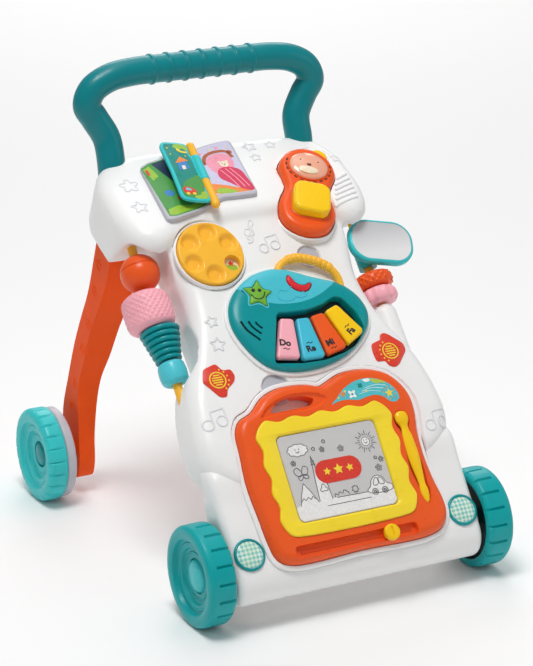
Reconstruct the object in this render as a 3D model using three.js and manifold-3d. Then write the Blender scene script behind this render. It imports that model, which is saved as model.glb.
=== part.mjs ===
// Baby walker: a push-along walker with a white activity body, an orange drawing board and
// piano that lift off, bead rods, a dial, a telephone, a page book, and four rolling wheels.
// Millimetres, +Z up, front towards -Y. The walker is modelled from its front axle and moved
// at the end, so that the origin is the middle of its footprint on the floor.
import * as THREE from 'three';
import * as BufferGeometryUtils from 'three/addons/utils/BufferGeometryUtils.js';
import Module from 'manifold-3d';

const wasm = await Module();
wasm.setup();

// ---- Driving dimensions -------------------------------------------------------------
const GAP = 0.3;
const WALL = 3;

const WHEEL_R = 50;
const WHEEL_W = 29;
const FRONT_WHEEL_X = 153.6;
const REAR_WHEEL_X = 159.5;
const REAR_AXLE_Y = 361.6;
const AXLE_R = 4;

const FACE_TILT = 44;
const FACE_AT = [0, 76.5, 212.4];
const FACE_DEPTH = 50;
const SKIRT_TILT = 37.2;
const SKIRT_AT = [0, -34.6, 78.4];
const HEAD_TILT = 66;
const HEAD_AT = [0, 240, 364];
const HEAD_DEPTH = 62;
const PHONE_TILT = 56;
const PHONE_AT = [0, 232, 362];
const BOARD_AT = [0, -27.9, 95.4];
const BOARD_T = 16;
const TRAY_RIM = 5;
const TRAY_LOW = -BOARD_T - 3.4;
const TRAY_TOP = -9;
const ABOVE_ALL = 60;

const HANDLE_R = 15.5;
const HANDLE_RING_R = 16.8;
const HANDLE_RINGS = 7;
const RING_PITCH = 19;

const LEG_OUTER_X = 128;
const LEG_THIN = 18;
const LEG_THICK = 34;
const LEG_THIN_Z = 50;
const LEG_THICK_Z = 220;

const ROD_X = 124;
const ROD_R = 4.5;
const ROD_TOP = [211.8, 314.5];
const ROD_LOW = [97.6, 187.0];
const BEAD_ROOM_R = 25;

const DIAL_AT = [-59.5, 132];
const DIAL_R = 34.6;
const DIAL_HOLES = 6;
const DIAL_HOLE_R = 9.5;
const DIAL_HOLE_RING = 23.5;

const PIANO_TOP = 12;
const SCREEN = { width: 108, height: 87, x: -7.5, y: 43.5 };

// ---- Colours ------------------------------------------------------------------------
const WHITE = 0xf7f7f5;
const GREY = 0xb9b9bd;
const PALE_GREY = 0xdcdce4;
const TEAL = 0x058a91;
const TURQUOISE = 0x45c6cd;
const ORANGE = 0xf05c2a;
const RED = 0xe12d38;
const YELLOW = 0xffd62b;
const AMBER = 0xffbe35;
const PINK = 0xf5a0ab;
const PEACH = 0xf3b59c;
const GREEN = 0x70b234;
const STEEL = 0xb8bcc0;
const DARK = 0x2c2f33;
const MIRROR = 0xd8dce0;
const PICTURE = 0xd8e8c0;
const SCREEN_FILM = 0xd9d7d6;
const CIRCUIT = 0x2f7d4a;

// ---- Frames: x along X, y up the slope, z out of the slope ----------------------------
const slopeFrame = (tilt, at) => new THREE.Matrix4()
  .makeRotationX(THREE.MathUtils.degToRad(90 - tilt))
  .setPosition(...at);
const FACE = slopeFrame(FACE_TILT, FACE_AT);
const SKIRT = slopeFrame(SKIRT_TILT, SKIRT_AT);
const HEAD = slopeFrame(HEAD_TILT, HEAD_AT);
const BOARD = slopeFrame(SKIRT_TILT, BOARD_AT);
const PHONE = slopeFrame(PHONE_TILT, PHONE_AT);
const shift = (x, y, z) => new THREE.Matrix4().makeTranslation(x, y, z);
const turnZ = (degrees) => new THREE.Matrix4().makeRotationZ(THREE.MathUtils.degToRad(degrees));
const turnX = (degrees) => new THREE.Matrix4().makeRotationX(THREE.MathUtils.degToRad(degrees));

// ---- Solids -------------------------------------------------------------------------
function withoutSlivers(index) {
  const kept = [];
  for (let i = 0; i < index.length; i += 3) {
    const [a, b, c] = index.slice(i, i + 3);
    if (a !== b && b !== c && c !== a) kept.push(a, b, c);
  }
  return kept;
}

function toSolid(geometry) {
  const bare = geometry.clone();
  for (const name of Object.keys(bare.attributes)) {
    if (name !== 'position') bare.deleteAttribute(name);
  }
  const merged = BufferGeometryUtils.mergeVertices(bare, 1e-4);
  const vertProperties = new Float32Array(merged.attributes.position.array);
  const triVerts = new Uint32Array(withoutSlivers(merged.index.array));
  return new wasm.Manifold(new wasm.Mesh({ numProp: 3, vertProperties, triVerts }));
}

function toGeometry(solid) {
  const { vertProperties, triVerts } = solid.getMesh();
  const geometry = new THREE.BufferGeometry();
  geometry.setAttribute('position', new THREE.BufferAttribute(new Float32Array(vertProperties), 3));
  geometry.setIndex(new THREE.BufferAttribute(new Uint32Array(triVerts), 1));
  return geometry;
}

const put = (geometry, ...matrices) => {
  const placed = geometry.clone();
  for (const matrix of matrices) placed.applyMatrix4(matrix);
  return placed;
};

const join = (...parts) => toGeometry(parts.map(toSolid).reduce((a, b) => a.add(b)));
const cut = (body, ...tools) => toGeometry(
  tools.map(toSolid).reduce((a, b) => a.subtract(b), toSolid(body)),
);
const common = (a, b) => toGeometry(toSolid(a).intersect(toSolid(b)));

// Moves each point of a closed outline inwards by an inset.
function insetOutline(points, inset) {
  const count = points.length;
  return points.map(([x, y], i) => {
    const [ax, ay] = points[(i + count - 1) % count];
    const [bx, by] = points[(i + 1) % count];
    const before = new THREE.Vector2(x - ax, y - ay).normalize();
    const after = new THREE.Vector2(bx - x, by - y).normalize();
    const normal = new THREE.Vector2(-before.y - after.y, before.x + after.x).normalize();
    const spread = Math.max(0.5, Math.sqrt((1 + before.dot(after)) / 2));
    return [x + normal.x * inset / spread, y + normal.y * inset / spread];
  });
}

// Drops the points that lie on the straight line between their neighbours.
const corners = (points) => points.filter(([x, y], i) => {
  const [ax, ay] = points.at(i - 1);
  const [bx, by] = points[(i + 1) % points.length];
  return Math.abs((x - ax) * (by - y) - (y - ay) * (bx - x)) > 1e-3;
});

// A closed solid through an outline drawn again at each level [height, inset].
function slab(rawOutline, levels) {
  const outline = corners(rawOutline);
  const rings = levels.map(([z, inset]) => insetOutline(outline, inset).map(([x, y]) => [x, y, z]));
  const count = outline.length;
  const index = [];
  for (let k = 0; k + 1 < rings.length; k += 1) {
    for (let i = 0; i < count; i += 1) {
      const j = (i + 1) % count;
      const [a, b, c, d] = [k * count + i, k * count + j, (k + 1) * count + j, (k + 1) * count + i];
      index.push(a, b, c, a, c, d);
    }
  }
  const flat = (ring) => ring.map(([x, y]) => new THREE.Vector2(x, y));
  const top = (rings.length - 1) * count;
  for (const [a, b, c] of THREE.ShapeUtils.triangulateShape(flat(rings[0]), [])) index.push(c, b, a);
  for (const [a, b, c] of THREE.ShapeUtils.triangulateShape(flat(rings.at(-1)), [])) {
    index.push(top + a, top + b, top + c);
  }
  const geometry = new THREE.BufferGeometry();
  geometry.setAttribute('position', new THREE.Float32BufferAttribute(rings.flat(2), 3));
  geometry.setIndex(index);
  return geometry;
}

// Levels for a block between two heights whose upper edge is rounded, and whose lower edge may be.
function roundLevels(low, high, radius, steps = 3, lowRadius = 0) {
  const arc = (r, z, sign) => Array.from({ length: steps + 1 }, (_, i) => {
    const angle = (i / steps) * Math.PI / 2;
    return [z - sign * r * (1 - Math.sin(angle)), r * (1 - Math.cos(angle))];
  });
  const upper = arc(radius, high, 1);
  const lower = lowRadius > 0 ? arc(lowRadius, low, -1).reverse() : [[low, 0]];
  return [...lower, ...upper];
}

// A smooth closed outline through a few points, turning anticlockwise.
function smoothOutline(points, count) {
  const knots = points.map(([x, y]) => new THREE.Vector3(x, y, 0));
  const curve = new THREE.CatmullRomCurve3(knots, true, 'centripetal');
  const samples = curve.getSpacedPoints(count).slice(0, count).map((p) => [p.x, p.y]);
  const area = samples.reduce((sum, [x, y], i) => {
    const [nx, ny] = samples[(i + 1) % count];
    return sum + x * ny - nx * y;
  }, 0);
  return area > 0 ? samples : samples.reverse();
}

// The right half of an outline from its lowest point to its highest, mirrored to close it.
const mirrored = (half) => [...half, ...half.filter(([x]) => x > 0.01).reverse().map(([x, y]) => [-x, y])];

function roundedRect(width, height, radius, steps = 3, centre = [0, 0]) {
  const points = [];
  const quarters = [[1, -1, -90], [1, 1, 0], [-1, 1, 90], [-1, -1, 180]];
  for (const [sx, sy, start] of quarters) {
    for (let i = 0; i <= steps; i += 1) {
      const angle = THREE.MathUtils.degToRad(start + (i / steps) * 90);
      points.push([
        centre[0] + sx * (width / 2 - radius) + radius * Math.cos(angle),
        centre[1] + sy * (height / 2 - radius) + radius * Math.sin(angle),
      ]);
    }
  }
  return points;
}

const circleOutline = (radius, count, centre = [0, 0]) => Array.from({ length: count }, (_, i) => {
  const angle = (i / count) * 2 * Math.PI;
  return [centre[0] + radius * Math.cos(angle), centre[1] + radius * Math.sin(angle)];
});

const box = (sx, sy, sz, at) => put(new THREE.BoxGeometry(sx, sy, sz), shift(...at));

// A turned solid about its own Z axis from a profile of [radius, height] points.
const turned = (profile, segments) => {
  const lathe = new THREE.LatheGeometry(profile.map(([r, z]) => new THREE.Vector2(r, z)), segments);
  return put(lathe, turnX(90));
};

// The same, laid along the X axis.
const turnedX = (profile, segments) => put(
  turned(profile, segments),
  new THREE.Matrix4().makeRotationY(Math.PI / 2),
);

// An outline in the Y-Z plane, thickened along X about x = 0, with softened edges.
function sideBlock(outline, width, radius) {
  const block = slab(outline, roundLevels(-width / 2, width / 2, radius, 2, radius));
  const axes = new THREE.Matrix4().makeBasis(
    new THREE.Vector3(0, 1, 0),
    new THREE.Vector3(0, 0, 1),
    new THREE.Vector3(1, 0, 0),
  );
  return put(block, axes);
}

// A bar of a given section outline along a curve.
function sweep(outline, curve, steps) {
  const shape = new THREE.Shape(outline.map(([x, y]) => new THREE.Vector2(x, y)));
  return new THREE.ExtrudeGeometry(shape, { extrudePath: curve, steps, curveSegments: 1 });
}

// ---- Scene --------------------------------------------------------------------------
const walker = new THREE.Group();

function add(name, geometry, color, roughness = 0.4, metalness = 0, parent = walker) {
  const material = new THREE.MeshStandardMaterial({ color, roughness, metalness });
  const mesh = new THREE.Mesh(geometry, material);
  mesh.name = name;
  parent.add(mesh);
  return mesh;
}

function subGroup(matrix, parent = walker) {
  const group = new THREE.Group();
  group.applyMatrix4(matrix);
  parent.add(group);
  return group;
}

const faceGroup = subGroup(FACE);
const headGroup = subGroup(HEAD);
const boardGroup = subGroup(BOARD);
const phoneGroup = subGroup(PHONE);

// ---- White body ---------------------------------------------------------------------
const rodRun = [ROD_TOP[0] - ROD_LOW[0], ROD_TOP[1] - ROD_LOW[1]];
const ROD_LENGTH = Math.hypot(...rodRun);
const ROD_LEAN = Math.atan2(...rodRun);
const dialPlace = shift(...DIAL_AT, 0);
const BODY_OUTLINE = smoothOutline(mirrored([
  [0, -121], [60, -120], [98, -115], [121, -103], [134, -86], [138, -66], [137, -48], [134, -26],
  [127, -1], [114, 28], [101, 62], [97, 92], [101, 118], [108, 145], [108, 172], [60, 190], [0, 192],
]), 42);
const HEAD_OUTLINE = smoothOutline(mirrored([
  [0, -58], [52, -60], [84, -68], [108, -78], [127, -69], [138, -42], [140, -8], [137, 22],
  [124, 46], [96, 60], [50, 63], [0, 63],
]), 32);
const EDGE_R = 18;
const HEAD_EDGE_R = 16;
const SKIRT_DEPTH = 110;
const SKIRT_RISE = 172.8;
const BASE_WIDTH = 272;
const BASE_EDGE_R = 9;
const BASE_PROFILE = smoothOutline([
  [12, 26], [20, 60], [36, 112], [44, 140], [20, 141], [0, 114], [-18, 90], [-36, 66], [-44, 50],
  [-43, 36], [-35, 26],
], 22);

// A rounded block behind a slope; the hollow inside it is a coarser copy, inset by the wall.
function slopeBlock(outline, depth, radius, frame, inset, lift) {
  const every = inset > 0 ? 2 : 1;
  const drawn = insetOutline(outline.filter((_, i) => i % every === 0), inset);
  return put(slab(drawn, roundLevels(-depth - lift, -inset, radius - inset, 3 - every)), frame);
}

function apronBlock(inset, lift) {
  const skirtOutline = BODY_OUTLINE.map(([x, y]) => [x, y + SKIRT_RISE]);
  return common(
    slopeBlock(BODY_OUTLINE, FACE_DEPTH, EDGE_R, FACE, inset, lift),
    slopeBlock(skirtOutline, SKIRT_DEPTH, EDGE_R, SKIRT, inset, lift),
  );
}

// The room beside the body for the beads on one rod, and for the mirror.
function beadRoom(side, grow) {
  const along = (s, e) => [
    ROD_LOW[0] + s * Math.sin(ROD_LEAN) - e * Math.cos(ROD_LEAN),
    ROD_LOW[1] + s * Math.cos(ROD_LEAN) + e * Math.sin(ROD_LEAN),
  ];
  const outline = [
    along(14 - grow, -70), along(ROD_LENGTH - 1 + grow, -70), along(ROD_LENGTH - 1 + grow, 12 + grow),
    along(ROD_LENGTH - 13 + grow, 25 + grow), along(24 - grow, 25 + grow), along(14 - grow, 15 + grow),
  ];
  const width = 60 + grow;
  return put(sideBlock(outline, width, 0.5), shift(side * (ROD_X - BEAD_ROOM_R - grow + width / 2), 0, 0));
}

// The round seat that keeps the dial clear of the console.
const dialRoom = (grow) => put(
  turned([[0, -grow], [DIAL_R + 4 + grow, -grow], [DIAL_R + 4 + grow, 40], [0, 40]], 28),
  dialPlace,
  FACE,
);

const bodyBlock = (inset, lift) => cut(
  join(apronBlock(inset, lift), slopeBlock(HEAD_OUTLINE, HEAD_DEPTH, HEAD_EDGE_R, HEAD, inset, lift)),
  beadRoom(-1, inset),
  beadRoom(1, inset),
  dialRoom(inset),
);
const baseBlock = (inset) => sideBlock(
  insetOutline(BASE_PROFILE, inset),
  BASE_WIDTH - 2 * inset,
  Math.max(BASE_EDGE_R - inset, 4),
);

// ---- Handle -------------------------------------------------------------------------
const BAR_Y = 303;
const BAR_Z = 469;

function handleBar(grow) {
  const half = [
    [108, 288, 350], [108, 291, 380], [109, 299, 404], [120, 303, 425], [128, 303, 439],
    [122, 303, 454], [104, 303, 464.5], [80, 303, 468.5], [42, 303, BAR_Z],
  ];
  const left = half.map(([x, y, z]) => new THREE.Vector3(-x, y, z));
  const right = half.map(([x, y, z]) => new THREE.Vector3(x, y, z)).reverse();
  const middle = new THREE.Vector3(0, BAR_Y, BAR_Z);
  const curve = new THREE.CatmullRomCurve3([...left, middle, ...right], false, 'centripetal');
  return sweep(circleOutline(HANDLE_R + grow, 10), curve, 26);
}

function handle() {
  const profile = [[0, -7], [HANDLE_RING_R, -6], [HANDLE_RING_R, 6], [0, 7]];
  const rings = Array.from({ length: HANDLE_RINGS }, (_, i) => put(
    turnedX(profile, 10),
    shift((i - (HANDLE_RINGS - 1) / 2) * RING_PITCH, BAR_Y, BAR_Z),
  ));
  return join(handleBar(0), ...rings);
}

// ---- Legs and axles -----------------------------------------------------------------
const LEG_OUTLINE = smoothOutline([
  [352, 20], [366, 17], [380, 26], [387, 52], [386, 88], [369, 131], [352, 170], [334, 203],
  [311, 242], [286, 303], [276, 322], [254, 322], [254, 290], [268, 258], [284, 232], [309, 196],
  [326, 161], [342, 128], [345, 70], [345, 36],
], 26);

// The leg thickens inwards as it rises; its outer face stays flat.
function legBlock(side, grow) {
  const block = sideBlock(insetOutline(LEG_OUTLINE, -grow), 1, 0.15);
  const place = block.attributes.position;
  for (let i = 0; i < place.count; i += 1) {
    const rise = THREE.MathUtils.smoothstep(place.getZ(i), LEG_THIN_Z, LEG_THICK_Z);
    const thick = LEG_THIN + (LEG_THICK - LEG_THIN) * rise + 2 * grow;
    place.setX(i, side * (LEG_OUTER_X + grow - thick / 2) + place.getX(i) * thick);
  }
  return block;
}

const axleRod = (from, to, grow = 0) => turnedX([
  [0, from], [AXLE_R + grow, from], [AXLE_R + grow, to], [0, to],
], 14);

// ---- Bead rods ----------------------------------------------------------------------
const ROLLER_BORE = 10.5;
const ROLLER_HANG = 5;
const ROD_INTO_LOBE = 16;
const ROD_INTO_HEAD = 22;
const rodFrame = (side) => new THREE.Matrix4()
  .makeRotationX(-ROD_LEAN)
  .setPosition(side * ROD_X, ...ROD_LOW);
const rodBar = (side, grow) => put(turned([
  [0, -ROD_INTO_LOBE], [ROD_R + grow, -ROD_INTO_LOBE],
  [ROD_R + grow, ROD_LENGTH + ROD_INTO_HEAD], [0, ROD_LENGTH + ROD_INTO_HEAD],
], 12), rodFrame(side));

// A bead turned about its rod from the outer half of its profile, with a clear bore.
const bead = (outer, segments = 18, bore = ROD_R + 0.5) => {
  const ends = [[bore, outer[0][1]], ...outer, [bore, outer.at(-1)[1]], [bore, outer[0][1]]];
  return turned(ends, segments);
};

function ballBead() {
  const radius = 20;
  const outer = [-70, -50, -30, -10, 10, 30, 50, 70].map((degrees) => {
    const angle = THREE.MathUtils.degToRad(degrees);
    return [radius * Math.cos(angle), 140.7 + radius * Math.sin(angle)];
  });
  return bead(outer, 18);
}

const ribbedCone = () => bead([
  [10, 44.5], [13, 46], [12, 50.5], [15, 53], [14, 57.5], [17, 60], [16, 64.5], [19, 67], [18, 71.5],
  [20, 74], [17, 78.5],
], 14);
const roller = () => bead([[18, 79.5], [23.5, 84], [24.5, 98], [23.5, 112], [18, 117]], 20, ROLLER_BORE);
const barrel = () => bead([[9, 19.5], [13, 22], [14, 31], [13, 41], [9, 43.5]], 18);
const smoothRing = () => bead([[13, 66.5], [18, 69], [20, 75], [18, 81], [13, 83.5]], 20);
const spikyRing = () => bead([[14, 84.5], [19, 87], [20.5, 92.5], [19, 98], [14, 100.5]], 18);
const rodSocket = () => bead([[12, 12], [12, 58], [9, 63.5]], 16);

// ---- Mirror -------------------------------------------------------------------------
const MIRROR_AT = [139.5, 124.5];
const MIRROR_COLLAR = { radius: 9.5, from: 108, to: 146 };
const MIRROR_TURN = -14;
const MIRROR_LOW = -19;
const MIRROR_TOP = -9;
const mirrorOutline = () => roundedRect(72, 50, 22, 4);
const mirrorPlace = (z) => shift(...MIRROR_AT, z).multiply(turnZ(MIRROR_TURN));

function mirrorFrame() {
  const levels = roundLevels(MIRROR_LOW, MIRROR_TOP, 3, 2, 3);
  const shell = put(slab(mirrorOutline(), levels), mirrorPlace(0), FACE);
  const seat = put(
    slab(insetOutline(mirrorOutline(), 3), [[MIRROR_TOP - 1.5, 0], [MIRROR_TOP + 5, 0]]),
    mirrorPlace(0),
    FACE,
  );
  const { radius, from, to } = MIRROR_COLLAR;
  const collar = put(turned([[0, from], [radius, from], [radius, to], [0, to]], 16), rodFrame(1));
  return cut(join(cut(shell, seat), collar), rodBar(1, 0.5));
}

const mirrorPlate = () => put(
  slab(insetOutline(mirrorOutline(), 3 + GAP), [[MIRROR_TOP - 1.5 + GAP, 0], [MIRROR_TOP - 0.2, 0]]),
  mirrorPlace(0),
);

// ---- Telephone ----------------------------------------------------------------------
const PHONE_TURN = -24;
const PHONE_EYE = [84, -2];
const phoneOutline = () => smoothOutline(mirrored([
  [0, -88], [21, -80], [30, -60], [28, -46], [23.5, -31], [26, -17], [30, 0], [21, 20], [0, 29],
]), 30);
const phonePlace = shift(...PHONE_EYE, 0).multiply(turnZ(PHONE_TURN));
const PHONE_LOW = -16;
const PHONE_TOP = 8;

const phoneBase = () => slab(phoneOutline(), roundLevels(PHONE_LOW, PHONE_TOP, 6));
const PHONE_KEY_AT = [0, -46];
const phoneButton = () => slab(
  roundedRect(34, 38, 11, 3, PHONE_KEY_AT),
  roundLevels(PHONE_TOP - 1.5, PHONE_TOP + 9, 5),
);
const buttonWell = () => slab(
  roundedRect(35, 39, 11.5, 3, PHONE_KEY_AT),
  [[PHONE_TOP - 6, 0], [PHONE_TOP + 20, 0]],
);
const phoneDome = () => turned([
  [0, PHONE_TOP + GAP], [19, PHONE_TOP + GAP], [18, PHONE_TOP + 3], [12, PHONE_TOP + 6.5],
  [0, PHONE_TOP + 8],
], 24);

// ---- Page book ----------------------------------------------------------------------
const SPINE_AT = [-33.5, -3];
const SPINE_TURN = -8.4;
const BOOK_T = 5;
const PAGE_AXIS_H = 10;
const PAGE_OPEN = 8;
const SPINE_R = 4.6;
const spinePlace = shift(...SPINE_AT, 0).multiply(turnZ(SPINE_TURN));

function bookTray() {
  const outline = [
    [-95, -54], [-92, -57], [-84, -56.5], [-57, -49.5], [-40, -43], [-24, -35], [-4, -36], [13, -36],
    [16, -33], [19, 0], [24, 49], [21, 53], [6, 51.5], [-12, 48], [-28, 43], [-45, 40.5], [-66, 37],
    [-78, 34], [-87, 29.5], [-89, 26],
  ];
  return slab(outline, [[GAP, 1.5], [BOOK_T - 1, 0], [BOOK_T, 1]]);
}

function spineBar(from, to) {
  const length = to - from;
  const end = SPINE_R - 1.5;
  const profile = [[0, 0], [end, 0], [SPINE_R, 3], [SPINE_R, length - 3], [end, length], [0, length]];
  return put(turned(profile, 14), turnX(-90), shift(0, from, PAGE_AXIS_H));
}
const pinBar = (from, to, radius) => put(
  turned([[0, 0], [radius, 0], [radius, to - from], [0, to - from]], 12),
  turnX(-90),
  shift(0, from, PAGE_AXIS_H),
);
const PIN_R = 1.6;
const PIN_FIT = 0.15;
const PIN_HALF = 45.5;
const KNUCKLES = { low: [-51.5, -10.5], middle: [-10, 27.5], high: [28, 51] };

// An end knuckle stands on the tray by a short foot and holds the hinge pin.
function endKnuckle([from, to]) {
  const middle = [0, (from + to) / 2, (PAGE_AXIS_H + BOOK_T + GAP) / 2];
  const foot = box(4, to - from - 8, PAGE_AXIS_H - BOOK_T, middle);
  return cut(join(spineBar(from, to), foot), pinBar(-PIN_HALF - GAP, PIN_HALF + GAP, PIN_R + GAP));
}

function flipPage() {
  const leaf = put(
    slab(roundedRect(30, 94, 6, 3, [-20.5, 2]), roundLevels(-1.5, 2, 1, 1)),
    new THREE.Matrix4().makeRotationY(THREE.MathUtils.degToRad(PAGE_OPEN)),
    shift(0, 0, PAGE_AXIS_H),
  );
  const clear = [KNUCKLES.low, KNUCKLES.high].map(([from, to]) => pinBar(from - 4, to + 4, SPINE_R + 0.8));
  const hub = spineBar(...KNUCKLES.middle);
  const arm = put(
    box(9, 26, 2.5, [-6, 9, 0]),
    new THREE.Matrix4().makeRotationY(THREE.MathUtils.degToRad(PAGE_OPEN)),
    shift(0, 0, PAGE_AXIS_H),
  );
  return cut(join(cut(leaf, ...clear), arm, hub), pinBar(-60, 60, PIN_R + PIN_FIT));
}

// ---- Dial ---------------------------------------------------------------------------
function dialDisc() {
  const disc = turned([[0, 1.3], [DIAL_R, 1.3], [DIAL_R, 6.5], [DIAL_R - 1.5, 8], [0, 8.6]], 28);
  const dimples = Array.from({ length: DIAL_HOLES }, (_, i) => {
    const angle = THREE.MathUtils.degToRad(-38 + (i * 360) / DIAL_HOLES);
    const at = [DIAL_HOLE_RING * Math.cos(angle), DIAL_HOLE_RING * Math.sin(angle)];
    if (i === 0) return slab(circleOutline(DIAL_HOLE_R - 2, 14, at), [[0, 0], [12, 0]]);
    return put(new THREE.SphereGeometry(12, 10, 6), shift(...at, 15.5));
  });
  return cut(disc, ...dimples);
}

const pictureDisc = () => turned([[0, GAP], [DIAL_R, GAP], [DIAL_R, 1], [0, 1]], 32);
const dialRim = () => turned([
  [DIAL_R + 0.5, GAP], [DIAL_R + 3.5, GAP], [DIAL_R + 3, 3.5], [DIAL_R + 1.8, 4.5], [DIAL_R + 0.5, 3.5],
  [DIAL_R + 0.5, GAP],
], 28);

// ---- Piano --------------------------------------------------------------------------
const PIANO_OUTLINE = smoothOutline([
  [0, -8.5], [22, -6.5], [46, 1], [66, 14], [80, 29], [84.5, 43], [82, 57], [75, 69], [64, 79],
  [48, 86], [34, 92], [20, 99], [5, 104.5], [-9, 105], [-26, 101.5], [-42, 93], [-55, 82], [-63, 68],
  [-65.5, 50], [-60, 29], [-50, 11], [-40, 1], [-21, -6.5],
], 34);
const KEY_WELL = [
  [-37, 3], [-8, -2], [18, -2.5], [41, 2], [58, 8.5], [72, 23], [68, 42], [58, 60], [50, 62], [36, 56],
  [18, 52.5], [-2, 53], [-16, 55],
];
const KEYS = {
  key_do: {
    color: PINK,
    outline: [[-33, 9], [-32, 7], [-11, 3], [-9, 5], [-2, 44], [-4, 46], [-14, 48], [-16, 47]],
  },
  key_re: {
    color: TURQUOISE,
    outline: [[-7, 3], [-5, 0.5], [15.5, 0], [18, 2.5], [15, 43], [13.5, 44.5], [2.5, 45], [0.7, 43.5]],
  },
  key_mi: {
    color: ORANGE,
    outline: [[20, 3.5], [22, 1.3], [42, 6], [44, 9], [32.5, 45.5], [30.5, 47], [19.5, 45.5], [17.5, 44]],
  },
  key_fa: {
    color: YELLOW,
    outline: [[45.5, 11], [48, 9], [66, 18.5], [68, 22.5], [51.5, 51], [49, 53], [37, 49], [35.1, 46.5]],
  },
};
const STAR_AT = [-29.5, 77.5];
const starOutline = (outer, grow = 0) => smoothOutline(Array.from({ length: 10 }, (_, i) => {
  const angle = THREE.MathUtils.degToRad(74 + i * 36);
  const radius = (i % 2 === 0 ? outer : outer * 0.58) + grow;
  return [STAR_AT[0] + radius * Math.cos(angle), STAR_AT[1] + radius * Math.sin(angle)];
}), 30);
const moonOutline = (grow = 0) => insetOutline(smoothOutline([
  [10.5, 93], [6.5, 88], [8.5, 80], [15.5, 74], [24.5, 73], [30.5, 78], [31, 81], [22.5, 79.5],
  [15.5, 83], [12.5, 89],
], 22), -grow);
const carryCurve = new THREE.CatmullRomCurve3([
  [3, 97], [6, 105], [16, 111], [28, 112], [40, 108.5], [52, 102.5], [61, 94.5], [66, 84], [66, 72],
].map(([x, y]) => new THREE.Vector3(x, y, 8)), false, 'centripetal');

const carryHandle = (grow) => sweep(roundedRect(7 + 2 * grow, 9 + 2 * grow, 2, 1), carryCurve, 18);
const pressHole = (outline) => slab(insetOutline(outline, -0.6), [[2, 0], [30, 0]]);

function pianoCase() {
  const shell = slab(PIANO_OUTLINE, [[3.4, 0.3], [6.5, 0.3], [9.5, 1.8], [11.3, 5], [PIANO_TOP, 9]]);
  const room = slab(insetOutline(PIANO_OUTLINE, 4), [[0, 0], [6, 0], [9, 5]]);
  const well = slab(KEY_WELL, [[3.8, 0], [30, 0]]);
  return cut(
    shell, room, well, carryHandle(GAP),
    pressHole(starOutline(15)), pressHole(moonOutline()),
  );
}

const BATTERY_DOOR = roundedRect(62, 34, 4, 2, [2, 62]);

function pianoBase() {
  const plate = slab(insetOutline(PIANO_OUTLINE, -3.2), [[GAP, 0], [2.4, 0], [3.1, 0.8]]);
  return cut(plate, slab(insetOutline(BATTERY_DOOR, -GAP), [[0, 0], [1.9, 0]]));
}

// ---- Drawing board ------------------------------------------------------------------
const CASE_OUTLINE = smoothOutline([
  [-80, -36], [0, -36], [72, -36], [88, -31], [97, -20], [99, -6], [95, 18], [93, 42], [94, 66], [98, 88],
  [98, 104], [92, 119], [80, 132], [64, 139], [46, 141.5], [28, 140], [12, 134], [4, 131.5], [-8, 135],
  [-26, 137], [-44, 136], [-60, 130], [-76, 117], [-90, 111], [-97, 100], [-99, 78], [-101.5, 48],
  [-99, 12], [-97, -12], [-93, -28],
], 46);
const HAND_HOLE = [
  [-56, 111.5], [-12, 112.5], [-7, 119], [-18, 123.5], [-34, 125], [-48, 121.5], [-57, 114.5],
];
const PEN_OUTLINE = [
  [79, -4.5], [83.5, 6], [83, 13], [84, 30], [81.5, 72], [85, 80], [82, 88], [75, 89], [70.5, 84],
  [70.5, 77],
  [73.5, 71], [71.5, 30], [74.5, 13], [74.5, 6],
];
const FRAME_HALF = { left: -82, right: 68, low: -13, high: 105 };

// A frame side waves out by a little at an even pitch, as the top, left and right sides do.
function wavyFrame() {
  const { left, right, low, high } = FRAME_HALF;
  const wave = (t, count) => 1.6 * Math.cos(t * count * 2 * Math.PI);
  const points = [[left + 16, low], [right - 16, low], [right - 4, low + 4.5]];
  const side = (from, to, count, place) => {
    for (let i = 0; i <= count * 4; i += 1) {
      const t = i / (count * 4);
      points.push(place(from + (to - from) * t, wave(t, count)));
    }
  };
  side(low + 16, high - 14, 3, (y, w) => [right - 1.6 + w, y]);
  side(right - 12, left + 12, 4, (x, w) => [x, high - 1.6 + w]);
  side(high - 14, low + 16, 3, (y, w) => [left + 1.6 - w, y]);
  points.push([left + 4, low + 4.5]);
  return points;
}

const slotOutline = roundedRect(134, 12, 4, 2, [-8, -27]);
const screenOutline = (grow) => roundedRect(
  SCREEN.width + grow,
  SCREEN.height + grow,
  6,
  3,
  [SCREEN.x, SCREEN.y],
);
const BACK_PANEL = { width: 150, height: 110, at: [-7, 42] };
const panelOutline = (grow) => roundedRect(
  BACK_PANEL.width + grow,
  BACK_PANEL.height + grow,
  6,
  2,
  BACK_PANEL.at,
);

function boardCase() {
  const body = slab(CASE_OUTLINE, [[-BOARD_T, 0.6], [-10, 0], [-4, 2], [-1, 5.5], [0, 9]]);
  return cut(
    body,
    slab(HAND_HOLE, [[-40, 0], [20, 0]]),
    slab(insetOutline(PEN_OUTLINE, -0.8), [[-5.3, 0], [20, 0]]),
    slab(slotOutline, [[-5, 0], [20, 0]]),
    slab(insetOutline(wavyFrame(), -GAP), [[-3.3, 0], [20, 0]]),
    slab(screenOutline(-10), [[-8, 0], [20, 0]]),
    slab(panelOutline(0), [[-40, 0], [-9.5, 0]]),
  );
}

function boardFrame() {
  const plate = slab(wavyFrame(), [[-3, 0], [1, 0], [2, 1]]);
  return cut(plate, slab(screenOutline(GAP), [[-10, 0], [20, 0]]));
}

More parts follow.
